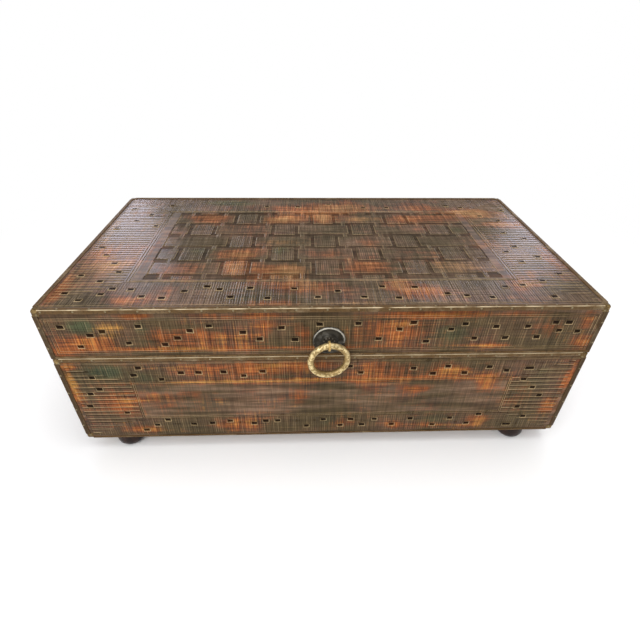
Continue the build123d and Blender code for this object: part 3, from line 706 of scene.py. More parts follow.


# Rubbed-in colours: kind, distance from the left, height from the face's lower edge,
# reach both ways, strength. The top's heights are from its front edge.
topStains = [
    ("rust", 625, 556, 175, 52, 0.95), ("ochre", 690, 560, 90, 30, 0.55), ("rust", 1062, 520, 90, 44, 0.95),
    ("ochre", 1070, 520, 70, 32, 0.80), ("rust", 1140, 428, 72, 26, 0.95),
    ("ochre", 1140, 430, 50, 14, 0.6), ("ochre", 25, 385, 14, 78, 0.8), ("rust", 80, 215, 78, 95, 0.62),
    ("ochre", 88, 190, 60, 48, 0.60), ("rust", 24, 70, 20, 62, 0.9), ("rust", 180, 36, 48, 20, 0.85),
    ("rust", 290, 487, 72, 40, 0.75), ("rust", 510, 470, 74, 30, 0.9), ("ochre", 500, 470, 60, 22, 0.65),
    ("rust", 618, 478, 40, 44, 1.0), ("ochre", 618, 478, 26, 40, 0.55), ("ochre", 735, 474, 55, 26, 0.6),
    ("rust", 900, 474, 110, 42, 0.85), ("rust", 400, 250, 66, 32, 0.8), ("ochre", 400, 246, 40, 18, 0.45),
    ("ochre", 510, 322, 62, 28, 0.5), ("rust", 735, 322, 40, 30, 0.5), ("rust", 395, 178, 38, 40, 0.9),
    ("ochre", 398, 172, 28, 34, 0.55), ("rust", 500, 152, 76, 50, 0.85), ("ochre", 530, 150, 44, 50, 0.65),
    ("rust", 720, 176, 66, 34, 0.75), ("ochre", 930, 176, 66, 34, 0.65), ("rust", 560, 92, 90, 26, 0.75),
    ("ochre", 570, 100, 26, 22, 0.65), ("rust", 770, 96, 34, 30, 0.85), ("ochre", 772, 100, 20, 26, 0.6),
    ("rust", 815, 60, 50, 34, 0.85), ("rust", 1070, 92, 40, 30, 0.7), ("ochre", 1075, 95, 28, 22, 0.6),
    ("rust", 1190, 240, 24, 66, 0.85), ("rust", 270, 180, 60, 36, 0.55), ("rust", 500, 20, 60, 16, 0.7),
    ("rust", 250, 66, 40, 44, 0.5), ("green", 330, 606, 118, 34, 0.65), ("green", 1000, 395, 32, 28, 0.5),
    ("green", 300, 270, 50, 36, 0.5), ("green", 500, 268, 30, 32, 0.6), ("green", 740, 470, 36, 20, 0.5),
    ("green", 440, 40, 70, 22, 0.5), ("rust", 940, 560, 60, 30, 0.6), ("rust", 660, 250, 60, 26, 0.35),
    ("ochre", 660, 20, 90, 10, 0.35),
]
lidFrontStains = [
    ("green", 90, 86, 36, 24, 0.9), ("ochre", 145, 79, 38, 20, 0.62), ("rust", 95, 42, 62, 24, 0.95),
    ("rust", 275, 56, 62, 26, 0.9), ("rust", 300, 24, 210, 9, 0.9), ("rust", 620, 22, 170, 7, 0.75),
    ("rust", 205, 110, 36, 8, 0.8), ("rust", 430, 110, 90, 7, 0.75), ("rust", 860, 109, 180, 8, 0.95),
    ("rust", 770, 72, 58, 38, 0.8), ("rust", 555, 66, 26, 30, 0.7), ("rust", 350, 60, 40, 20, 0.5),
    ("rust", 1090, 66, 42, 30, 0.45), ("rust", 1188, 30, 22, 22, 0.8), ("rust", 40, 20, 34, 14, 0.9),
    ("rust", 980, 26, 60, 8, 0.6), ("green", 885, 60, 52, 26, 0.6), ("green", 215, 80, 22, 24, 0.6),
    ("rust", 690, 60, 40, 26, 0.5), ("rust", 480, 84, 30, 14, 0.6), ("ochre", 320, 24, 60, 6, 0.4),
    ("ochre", 770, 88, 26, 12, 0.35), ("rust", 1180, 90, 14, 30, 0.6), ("rust", 430, 50, 60, 16, 0.45),
]
caseFrontStains = [
    ("rust", 20, 185, 11, 66, 1.0), ("ochre", 22, 190, 8, 40, 0.75), ("rust", 640, 192, 420, 8, 0.9),
    ("ochre", 430, 191, 170, 5, 0.55), ("rust", 430, 228, 150, 24, 0.75), ("rust", 760, 220, 90, 28, 0.80),
    ("rust", 900, 214, 56, 22, 0.95), ("ochre", 905, 214, 34, 16, 0.42), ("rust", 1003, 176, 26, 34, 0.80),
    ("ochre", 1003, 172, 14, 24, 0.25), ("rust", 105, 118, 52, 44, 0.70), ("ochre", 130, 128, 22, 26, 0.15),
    ("rust", 155, 30, 48, 14, 0.9), ("ochre", 170, 30, 26, 9, 0.4), ("rust", 552, 136, 22, 28, 0.55),
    ("rust", 840, 158, 44, 10, 0.75), ("rust", 390, 40, 64, 24, 0.6), ("rust", 790, 30, 22, 15, 0.85),
    ("rust", 1012, 42, 30, 24, 0.85), ("ochre", 1015, 38, 20, 16, 0.55), ("rust", 1178, 88, 24, 32, 0.9),
    ("rust", 205, 148, 40, 14, 0.5), ("ochre", 205, 146, 22, 10, 0.35), ("rust", 290, 146, 46, 10, 0.45),
    ("rust", 560, 238, 60, 14, 0.7), ("ochre", 480, 240, 36, 8, 0.45), ("rust", 1198, 186, 9, 46, 0.7),
    ("rust", 655, 40, 44, 22, 0.5), ("rust", 880, 26, 60, 10, 0.5), ("rust", 30, 246, 14, 12, 0.9),
    ("green", 105, 226, 52, 22, 0.9), ("green", 625, 46, 36, 22, 0.6), ("green", 190, 206, 34, 20, 0.6),
    ("green", 330, 118, 90, 40, 0.35), ("green", 900, 46, 90, 22, 0.45), ("green", 1120, 190, 60, 60, 0.45),
    ("rust", 240, 100, 60, 30, 0.3), ("rust", 1090, 120, 40, 60, 0.3), ("rust", 700, 150, 60, 34, 0.25),
]


# Stains for an end: the front's, squeezed to the shorter face and turned end for end if asked
def carriedStains(stains, span, flip, seed):
    share = span / trunkWidth
    draws = np.random.default_rng(seed)
    moved = []
    for kind, x, y, reachX, reachY, strength in stains:
        x = (trunkWidth - x if flip else x) * share + draws.uniform(-18, 18)
        moved.append((kind, x, y + draws.uniform(-6, 6), reachX * max(share, 0.7), reachY, strength))
    return moved


# Where the bricks are stamped: distance from the left and height from the face's lower edge
topBricks = [
    (44, 66), (84, 38), (122, 61), (139, 84), (180, 80), (212, 51), (256, 44), (299, 72), (345, 91),
    (374, 79), (402, 47), (442, 83), (482, 41), (539, 80), (591, 44), (636, 69), (692, 43), (737, 86),
    (767, 39), (811, 83), (878, 55), (919, 46), (973, 38), (1019, 82), (1062, 89), (1112, 39), (41, 555),
    (107, 507), (75, 464), (141, 424), (36, 409), (41, 289), (67, 246), (103, 201), (128, 158), (47, 143),
    (100, 116), (1101, 496), (1184, 541), (1144, 459), (1126, 375), (1171, 334), (1123, 286), (1089, 257),
    (1107, 201), (1159, 227), (1173, 139), (1116, 108), (150, 583), (446, 574), (544, 571), (641, 593),
    (750, 564), (824, 564), (1019, 580), (1061, 564),
]
lidFrontBricks = [
    (49, 87), (76, 34), (104, 64), (132, 74), (181, 42), (210, 87), (257, 37), (287, 55), (316, 74),
    (358, 87), (429, 69), (463, 50), (512, 80), (540, 47), (594, 88), (677, 89), (724, 47), (768, 73),
    (797, 90), (831, 38), (882, 71), (911, 85), (939, 45), (981, 77), (1009, 46), (1052, 77), (1080, 47),
    (1111, 87), (1126, 65), (1141, 87), (1168, 62),
]
caseFrontBricks = [
    (72, 210), (168, 216), (183, 238), (229, 202), (276, 222), (316, 222), (374, 223), (419, 210),
    (463, 223), (666, 235), (692, 215), (815, 226), (864, 209), (896, 231), (939, 210), (996, 228),
    (1039, 215), (1093, 222, 1.5), (79, 173), (54, 158), (41, 117), (124, 92), (1089, 186), (1119, 158),
    (1145, 130), (1101, 90), (157, 27), (187, 45), (217, 64), (279, 47), (326, 49), (371, 56), (431, 45),
    (461, 54), (491, 54), (564, 32), (607, 55), (651, 32), (677, 54), (707, 33), (738, 53), (784, 32),
    (831, 53), (892, 28), (934, 52), (981, 32), (1007, 65), (1090, 25, 1.6), (1126, 54),
]


def withWidth(places):
    return [(*place, 1.0) if len(place) == 2 else place for place in places]


# Bricks for an end or the back, from the front's: mirrored, and thinned to the shorter face
def carriedBricks(places, span):
    share = span / trunkWidth
    moved, taken = [], []
    for u, v, wide in withWidth(places):
        u = (trunkWidth - u) * share
        if all(abs(u - a) > 20 or abs(v - b) > 16 for a, b in taken):
            taken.append((u, v))
            moved.append((u, v, wide))
    return moved


# The front's stains and bricks as they are, or carried to another side
def sideMarks(side, span, seed, stains, bricks):
    if side == "front":
        return stains, withWidth(bricks)
    return carriedStains(stains, span, side != "left", seed), carriedBricks(bricks, span)


# The lid's sides: plain margin, a double welt all round, and a finely ruled field
lidSide = {"margin": 15.0, "welt": 15.0, "low": 10.0, "lowWelt": 21.0, "high": 109.0, "highWelt": 99.0,
           "from": 2.2, "topGap": 2.6, "seed": 1}


def lidCover(side):
    face = trunkFace(side, lidBase)
    face["lowV"], face["highV"] = lidSide["from"], lidTop - lidBase - metalThickness - lidSide["topGap"]
    span, seed = face["span"], lidSide["seed"] + sides.index(side)
    stains, bricks = sideMarks(side, span, seed, lidFrontStains, lidFrontBricks)
    margin, welted = lidSide["margin"], lidSide["margin"] + lidSide["welt"]
    outer = (margin, lidSide["low"], span - margin, lidSide["high"])
    inner = (welted, lidSide["lowWelt"], span - welted, lidSide["highWelt"])
    field = ruledSection("fine", inner[0], inner[2], seed)
    parts = [coverSlab(face)]
    parts += doubleWelt(face, stains, outer, inner, 6)
    parts.append(ruledZone(face, stains, field, inner[1], inner[3], True, level=0.06, segments=7, drop=0.2))
    # Plain strips along the lower and upper edging, darkened with painted shade beside it
    parts.append(plainStrip(face, stains, face["lowV"], outer[1], seed, 0.15))
    parts.append(plainStrip(face, stains, outer[3], face["highV"], seed + 5, 0.35))
    parts += plainEnds(face, stains, outer, seed + 9)
    parts += brickPatches(face, stains, bricks)
    layCover("lid", side, parts)


# The case's sides: a mitred picture frame of ruled zones round a plain brushed panel
caseSide = {"left": 20.0, "right": 22.0, "low": 10.0, "high": 246.0, "zone": 135.0, "shortZone": 92.0,
            "stripHigh": 52.0, "stripLow": 58.0, "welt": 9.0, "rule": 7.5, "edgeGap": 2.6, "seed": 21}


def caseCover(side):
    face = trunkFace(side, caseBase)
    face["lowV"], face["highV"] = caseSide["edgeGap"], seamZ - caseBase - caseSide["edgeGap"]
    span, seed = face["span"], caseSide["seed"] + sides.index(side)
    stains, bricks = sideMarks(side, span, seed, caseFrontStains, caseFrontBricks)
    zone = caseSide["shortZone"] if side in ("left", "right") else caseSide["zone"]
    inset, welt = coverLooks["arrisInset"], caseSide["welt"]
    outer = (caseSide["left"], caseSide["low"], span - caseSide["right"], caseSide["high"])
    inner = (outer[0] + zone, outer[1] + caseSide["stripLow"], outer[2] - zone - 2,
             outer[3] - caseSide["stripHigh"])
    panel = (inner[0] + welt, inner[1] + welt, inner[2] - welt, inner[3] - welt)
    ruleTop = outer[3] + caseSide["rule"]
    rule = ruledSection("double", outer[3], ruleTop, seed)
    parts = [coverSlab(face)]
    parts += mitredFrame(face, stains, outer, inner, ("wide", "fine"), (seed, seed), True, 6, 0.2)
    parts += doubleWelt(face, stains, inner, panel, 5)
    parts.append(plainField(face, stains, *panel, level=-0.05, seed=seed, sway=0.14))
    # Plain strips along the bottom and rim edging, darkened with painted shade beside it
    parts.append(plainStrip(face, stains, face["lowV"], outer[1], seed, 0.2))
    parts.append(ruledZone(face, stains, rule, inset, span - inset, False, segments=60))
    parts.append(plainStrip(face, stains, ruleTop, face["highV"], seed, 0.6))
    parts += plainEnds(face, stains, outer, seed + 9)
    parts += brickPatches(face, stains, bricks)
    layCover("case", side, parts)


# The top: a mitred ruled frame, a double welt, a plain border, and straps woven over and under
weave = {
    "overColumns": (395.0, 617.5, 835.6), "underColumns": (278.0, 508.0, 725.0, 944.0),
    "rows": (177.0, 250.0, 322.5, 399.0, 474.0), "low": 124.0, "high": 523.0, "left": 193.0, "right": 1028.0,
    "tileWidth": 57.0, "tileHeight": 73.0, "strapHeight": 56.0, "strapGap": 7.0, "slimWidth": 12.5,
    "slimOffset": 49.5, "segment": 16, "bevel": 2.6, "drop": 0.95, "rim": 0.48, "leastStrap": 12,
    "endLow": 17, "endHigh": 13,
}


# A strap or tile of the weave, crowned, with brush marks of its own and painted shade round its dropped
# outline
def wovenTile(face, u0, v0, u1, v1, upright, level, crown, seed):
    low, high, start, stop = (u0, u1, v0, v1) if upright else (v0, v1, u0, u1)
    section = ruledSection("tile", low, high, seed)
    segments = max(3, int((stop - start) / weave["segment"]))
    return ruledZone(face, topStains, section, start, stop, upright, level, weave["bevel"], weave["drop"],
                     segments, crown, 0.2 * seed, weave["rim"])


def wovenPanel(face):
    parts, seed = [], 100
    tall, wide, gap = weave["tileHeight"] / 2, weave["tileWidth"] / 2, weave["strapGap"]
    low, high, strap = weave["low"], weave["high"], weave["strapHeight"] / 2
    for column in weave["underColumns"]:
        for side in (-1, 1):
            centre = column + side * weave["slimOffset"]
            slim = weave["slimWidth"] / 2
            if weave["left"] < centre - slim and centre + slim < weave["right"]:
                corners = (centre - slim, low, centre + slim, high)
                parts.append(wovenTile(face, *corners, True, -0.32, 0.22, seed))
                seed += 1
    for number, row in enumerate(weave["rows"]):
        overs = weave["overColumns"] if number % 2 == 0 else weave["underColumns"]
        for column in overs:
            corners = (column - wide, row - tall, column + wide, row + tall)
            parts.append(wovenTile(face, *corners, True, 0.34, 0.22, seed))
            seed += 1
        edges = [weave["left"]] + [column + side * (wide + gap) for column in overs for side in (-1, 1)]
        edges.append(weave["right"])
        for start, stop in zip(edges[0::2], edges[1::2]):
            if stop - start > weave["leastStrap"]:
                corners = (start + 1, row - strap, stop - 1, row + strap)
                parts.append(wovenTile(face, *corners, False, -0.05, 0.16, seed))
                seed += 1
        if number % 2 == 0:
            for edge in (weave["left"], weave["right"]):
                welt = ruledSection("single", edge - 2, edge + 2, seed)
                parts.append(ruledZone(face, topStains, welt, row - tall, row + tall, True, segments=6))
    for column in weave["underColumns"]:
        for v0, v1 in ((low, low + weave["endLow"]), (high - weave["endHigh"], high)):
            parts.append(wovenTile(face, column - wide + 2, v0, column + wide - 2, v1, True, -0.1, 0.3, seed))
            seed += 1
    return parts


# Distances from the top's left, front, right and back edges, and the double welt's width on each side
topFrame = {"outer": (17.0, 21.0, 17.0, 14.0), "inner": (153.0, 111.0, 155.0, 119.0),
            "welt": (16.0, 7.0, 16.0, 5.0)}


def within(rectangle, margins):
    u0, v0, u1, v1 = rectangle
    left, front, right, back = margins
    return u0 + left, v0 + front, u1 - right, v1 - back


def topCover():
    face, stains = trunkFace("top", 0), topStains
    inset = coverLooks["arrisInset"]
    face["lowV"], face["highV"] = inset, trunkDepth - inset
    whole = (0, 0, trunkWidth, trunkDepth)
    outer, inner = within(whole, topFrame["outer"]), within(whole, topFrame["inner"])
    border = within(inner, topFrame["welt"])
    left, right, low, high = weave["left"] - 2, weave["right"] + 2, weave["low"], weave["high"]
    parts = [coverSlab(face)]
    parts += mitredFrame(face, stains, outer, inner, ("topWide", "fine"), (0, 7), True, 7, 0.2)
    parts += doubleWelt(face, stains, inner, border, 6)
    parts.append(plainField(face, stains, border[0], border[1], border[2], low, seed=5))
    parts.append(plainField(face, stains, border[0], high, border[2], border[3], seed=6))
    parts.append(plainField(face, stains, border[0], low, left, high, seed=7))
    parts.append(plainField(face, stains, right, low, border[2], high, seed=8))
    # The ground between the woven straps, darkened with painted shade
    parts.append(plainField(face, stains, left, low, right, high, level=-0.9, seed=9, dark=0.54, sway=0.05))
    parts += wovenPanel(face)
    gilt = ruledSection("double", inset, outer[1], 3)
    parts.append(ruledZone(face, stains, gilt, inset, trunkWidth - inset, False, segments=60))
    # Plain strips along the back and end edging, darkened with painted shade beside it
    parts.append(plainStrip(face, stains, outer[3], face["highV"], 10, 0.3))
    parts += plainEnds(face, stains, outer, 11, 0.25)
    parts += brickPatches(face, stains, withWidth(topBricks))
    layCover("lid", "top", parts)


topCover()
for side in sides:
    lidCover(side)
    caseCover(side)
print("leather laid")


# Metal edging: an angle folded over an arris and dressed by hand, with a little waviness and a rubbed arris
edging = {"wave": 0.08, "step": 11.0, "wearArris": 1.50, "bevel": 0.5, "rough": 0.25, "lap": 14.0,
          "underCap": 1.0, "hingeGap": 2.0, "cornerLeg": 12.0, "cornerTurn": 3.0, "cornerDull": 0.80}


# The angle's closed section, as distances from the arris along each leg, with how rubbed each point is
def angleSection(legA, legB, turn, thickness):
    bevel = edging["bevel"]
    arc = np.linspace(0, math.pi / 2, 7)
    a = np.concatenate([[legA, legA - bevel, (legA + turn) / 2], turn - turn * np.sin(arc),
                        [0, 0, bevel * 0.8], [thickness, thickness, legA]])
    b = np.concatenate([[bevel * 0.8, 0, 0], turn - turn * np.cos(arc),
                        [(legB + turn) / 2, legB - bevel, legB], [legB, thickness, thickness]])
    rub = np.concatenate([[0.1, 0.55, 0.0], 0.15 + edging["wearArris"] * np.sin(2 * arc),
                          [0.0, 0.55, 0.1], [0, 0, 0]])
    return a, b, rub


# One length of edging from start to stop, its legs running inwards along inA and inB from the arris
def angleStrip(start, stop, inA, inB, legA, legB, turn, seed, dull=0.0):
    start, stop, inA, inB = [np.array(value, float) for value in (start, stop, inA, inB)]
    length = np.linalg.norm(stop - start)
    stations = np.linspace(0, length, max(3, int(length / edging["step"]) + 1))
    a, b, rub = angleSection(legA, legB, turn, metalThickness)
    wave = edging["wave"]
    onA = wave * (1 + wander(stations, seed, (71, 29, 47)))[:, None] * (b < metalThickness * 0.6)
    onB = wave * (1 + wander(stations, seed + 1, (63, 31, 41)))[:, None] * (a < metalThickness * 0.6)
    rough = edging["rough"] * wander(stations, seed + 2, (19, 43))[:, None]
    rough = rough * ((a > legA - 1) | (b > legB - 1))
    along = start + stations[:, None] * (stop - start) / length
    outA, outB = a + onB + rough * (a > legA - 1), b + onA + rough * (b > legB - 1)
    points = along[:, None, :] + outA[..., None] * inA + outB[..., None] * inB
    wear = np.broadcast_to(rub, points.shape[:2]).copy()
    wear = wear * (0.72 + 0.28 * wander(stations, seed + 3, (90, 37, 57))[:, None]) - dull
    if np.dot(np.cross(inA, inB), stop - start) < 0:
        points, wear = points[:, ::-1], wear[:, ::-1]
    for end in (0, -1):
        cap = points[end].mean(axis=0)
        ring = np.broadcast_to(cap, points[end].shape)[None]
        points = np.concatenate([ring, points] if end == 0 else [points, ring])
        edge = np.zeros((1, wear.shape[1]))
        wear = np.concatenate([edge, wear] if end == 0 else [wear, edge])
    return patch(points, {"wear": wear}, wrapColumns=True)


# Stretches left between gaps, each gap being a pair of ends
def clearStretches(low, high, gaps):
    edges = [low] + [end for gap in sorted(gaps) for end in gap] + [high]
    return list(zip(edges[0::2], edges[1::2]))


# A run of edging round all four sides at one level. The legs go inwards and up or down from the arris.
def edgingRound(level, downwards, legFace, legFlat, turn, reach, gaps, seed, dull):
    rise = (0, 0, -1) if downwards else (0, 0, 1)
    low, high, near, far = leftX + reach, rightX - reach, frontY + reach, backY - reach
    runs = [((low, frontY), (high, frontY), (0, 1, 0), 0)]
    for start, stop in clearStretches(low, high, gaps):
        runs.append(((start, backY), (stop, backY), (0, -1, 0), 4))
    runs += [((leftX, near), (leftX, far), (1, 0, 0), 8), ((rightX, near), (rightX, far), (-1, 0, 0), 12)]
    return [angleStrip((*start, level), (*stop, level), inward, rise, legFlat, legFace, turn,
                       seed + more, dull) for start, stop, inward, more in runs]


# The four corners of the outline, with the ways inwards and what each adds to a seed
def fourCorners(perSide):
    ends = enumerate(((leftX, 1), (rightX, -1)))
    return [(x, y, inX, inY, perSide * number + inY) for number, (x, inX) in ends
            for y, inY in ((frontY, 1), (backY, -1))]


# Upright lengths on the four corners
def edgingUpright(low, high, seed):
    leg = edging["cornerLeg"]
    return [angleStrip((x, y, low), (x, y, high), (inX, 0, 0), (0, inY, 0), leg, leg, edging["cornerTurn"],
                       seed + more, edging["cornerDull"]) for x, y, inX, inY, more in fourCorners(3)]


hingeGaps = []
for number in (1, 2, 3):
    leafLow, leafHigh = boxOf(f"hinge_{number}_case_leaf")
    hingeGaps.append((leafLow[0] - edging["hingeGap"], leafHigh[0] + edging["hingeGap"]))
topLeg, lidRimLeg = topHigh[2] - topLow[2], lidRimHigh[2] - lidRimLow[2]
rimLeg, bottomLeg = rimHigh[2] - rimLow[2], baseHigh[2] - baseLow[2]
toCap, lap = capLeg - edging["underCap"], edging["lap"]
# Body and place; then level, whether the legs go down, both legs, turn, distance kept from the corners, gaps,
# seed and dullness
edgingRuns = (
    ("lid", "top", lidTop, True, topLeg, topLeg, 2.2, toCap, [], 200, 0.22),
    ("lid", "rim", lidBase, False, lidRimLeg, lap, 1.0, 3.0, hingeGaps, 230, 0.25),
    ("case", "rim", seamZ, True, rimLeg, lap, 1.4, toCap, hingeGaps, 260, 0.0),
    ("case", "bottom", caseBase, False, bottomLeg, lap, 1.2, toCap, [], 290, 0.30),
)
for body, place, *run in edgingRuns:
    buildPiece(f"{body}_{place}_edging_strip", edgingRound(*run), body,
               metals["bronzeEdging"], [f"{body}_{place}_edging"])
uprights = (("lid", lidBase + 0.2, lidTop - toCap, 320), ("case", caseBase + toCap, seamZ - toCap, 350))
for body, low, high, seed in uprights:
    buildPiece(f"{body}_corner_strip", edgingUpright(low, high, seed), body,
               metals["bronzeEdging"], [f"{body}_corner_edging"])
print("edging folded")


# Corner caps: three faces of a rounded cube, beaten over the corner, with ragged lower edges
caps = {"round": 6.0, "steps": 15, "dent": 0.42, "dents": 34}


# A rounded cube's corner: a point of the cube is drawn to the ball of that radius round its inner core
def cornerCap(corner, inward, leg, seed):
    draws = np.random.default_rng(seed)
    shares = np.linspace(0, 1, caps["steps"]) ** 1.25
    first, second = np.meshgrid(shares, shares, indexing="ij")
    radius, parts = caps["round"], []
    dents = draws.uniform(0, leg, (caps["dents"], 3))
    for axis in range(3):
        cube = np.zeros((*first.shape, 3))
        cube[..., (axis + 1) % 3] = first * leg
        cube[..., (axis + 2) % 3] = second * leg
        core = np.maximum(cube, radius)
        away = cube - core
        length = np.maximum(np.linalg.norm(away, axis=-1, keepdims=True), 1e-6)
        away = away / length
        ball = core + away * radius
        nearest = np.linalg.norm(ball[..., None, :] - dents, axis=-1).min(axis=-1)
        depth = caps["dent"] * np.clip(1 - (nearest / 3.4) ** 2, 0, 1)
        ball = ball - away * (depth + 0.03)[..., None]
        edge = (first == 1) | (second == 1)
        lip = np.where(edge[..., None], ball - away * metalThickness * 0.95, ball)
        rag = 0.5 * wander(first * 17 + second * 11, seed + axis, (3.1, 5.3))
        lip = lip + (np.array(cube > leg * 0.999, float) * rag[..., None]) * 0.6
        wear = -0.05 + 0.60 * np.clip(1 - np.abs(length[..., 0] / radius - 1.25), 0, 1) - 1.6 * depth
        points = np.array(corner) + lip * np.array(inward)
        grid = {"points": points, "wear": wear}
        if inward[0] * inward[1] * inward[2] > 0:
            grid = {key: np.swapaxes(value, 0, 1) for key, value in grid.items()}
        parts.append(patch(grid["points"], {"wear": grid["wear"]}))
    return parts


def capsAt(level, downwards, seed):
    made = []
    for x, y, inX, inY, more in fourCorners(2):
        made += cornerCap((x, y, level), (inX, inY, -1 if downwards else 1), capLeg, seed + more)
    return made


for part, level, downwards, seed in (("lid", lidTop, True, 400), ("case_rim", seamZ, True, 420),
                                     ("case_bottom", caseBase, False, 440)):
    buildPiece(f"{part}_corner_caps", capsAt(level, downwards, seed), part.split("_")[0],
               metals["cornerCaps"], [f"{part}_caps"])
print("corners capped")


# Ring pull. The ring hangs from its pivot, a few degrees askew.
pull = {"ringRadius": 41.2, "tube": 7.4, "yaw": 7.0, "dents": 380, "dentReach": 2.6, "dentDepth": 0.34,
        "plateRadius": 36.5, "rimHeight": 4.4, "dish": 1.9, "bossRadius": 17.5, "bossHeight": 10.0,
        "beads": 10, "beadRing": 12.2, "beadRadius": 2.1, "eyeInner": 8.1, "eyeOuter": 11.5, "eyeWidth": 5.0,
        "tail": 18.0, "turns": 168, "rounds": 40, "plateTurns": 156}
plateLow, plateHigh = boxOf("ring_plate")
eyeLow, eyeHigh = boxOf("ring_eye")
pullX, pullZ = (eyeLow[0] + eyeHigh[0]) / 2, (plateLow[2] + plateHigh[2]) / 2
pullY = eyeLow[1] + pull["eyeOuter"]


# A hammered torus: the tube's radius dips in a shallow bowl round each scattered hammer blow
def hammeredRing():
    draws = np.random.default_rng(7)
    major, tube = pull["ringRadius"], pull["tube"]
    turns, rounds = pull["turns"], pull["rounds"]
    around = np.linspace(0, 2 * math.pi, turns, endpoint=False)[:, None] + np.zeros(rounds)
    about = np.linspace(0, 2 * math.pi, rounds, endpoint=False)[None, :] + np.zeros((turns, 1))

    def torus(theta, phi, radius):
        out = major + radius * np.cos(phi)
        return np.stack([out * np.cos(theta), radius * np.sin(phi), out * np.sin(theta)], axis=-1)

    blows = torus(*draws.uniform(0, 2 * math.pi, (2, pull["dents"])), tube)
    surface = torus(around, about, tube)
    nearest = np.linalg.norm(surface[:, :, None, :] - blows, axis=-1).min(axis=-1)
    bowl = np.clip(1 - (nearest / pull["dentReach"]) ** 2, 0, 1)
    radius = tube - 0.02 - pull["dentDepth"] * bowl - 0.12 * (1 + wander(around * major, 9, (31, 53))) / 2
    points = torus(around, about, radius)
    yaw = math.radians(pull["yaw"])
    x, y, z = np.moveaxis(points, -1, 0)
    turnedX, turnedY = x * math.cos(yaw) - y * math.sin(yaw), x * math.sin(yaw) + y * math.cos(yaw)
    turned = np.stack([turnedX, turnedY, z], axis=-1) + np.array([pullX, pullY, pullZ - major])
    # Low in the hammer dents, where patina sits; higher on the outer front of the tube and lower on its inner
    # back, partly rubbing and partly painted highlight and shade
    wear = 0.34 - 0.62 * bowl + 0.50 * np.cos(about + 0.9)
    return patch(turned[:, ::-1], {"wear": wear[:, ::-1]}, wrapRows=True, wrapColumns=True)


buildPiece("pull_ring", [hammeredRing()], "ring", metals["ringBrass"], ["ring"])


# A profile of (radius, height) carried round an axis through a point, heights growing along the outward way
def lathe(profile, centre, acrossWay, upWay, outWay, turns, wear, change=None):
    angle = np.linspace(0, 2 * math.pi, turns, endpoint=False)[:, None]
    radius, height = profile[:, 0][None, :] + 0 * angle, profile[:, 1][None, :] + 0 * angle
    if change:
        radius, height = change(angle + 0 * radius, radius, height)
    acrossWay, upWay, outWay = [np.array(way, float) for way in (acrossWay, upWay, outWay)]
    around = np.cos(angle)[..., None] * acrossWay + np.sin(angle)[..., None] * upWay
    points = np.array(centre, float) + radius[..., None] * around + height[..., None] * outWay
    return patch(points[:, ::-1], {"wear": np.broadcast_to(wear, radius.shape)[:, ::-1]}, wrapRows=True)


# A curve through a few (x, y) knots, rounded by sampling a cubic through them
def smoothProfile(knots, count):
    knots = np.array(knots, float)
    step = np.concatenate([[0], np.cumsum(np.linalg.norm(np.diff(knots, axis=0), axis=1))])
    at = np.linspace(0, step[-1], count)
    ends = np.vstack([2 * knots[0] - knots[1], knots, 2 * knots[-1] - knots[-2]])
    index = np.clip(np.searchsorted(step, at, side="right") - 1, 0, len(knots) - 2)
    share = ((at - step[index]) / (step[index + 1] - step[index]))[:, None]
    before, first, second, after = ends[index], ends[index + 1], ends[index + 2], ends[index + 3]
    linear, square = second - before, 2 * before - 5 * first + 4 * second - after
    cubic = 3 * first - before - 3 * second + after
    return 0.5 * (2 * first + linear * share + square * share ** 2 + cubic * share ** 3)


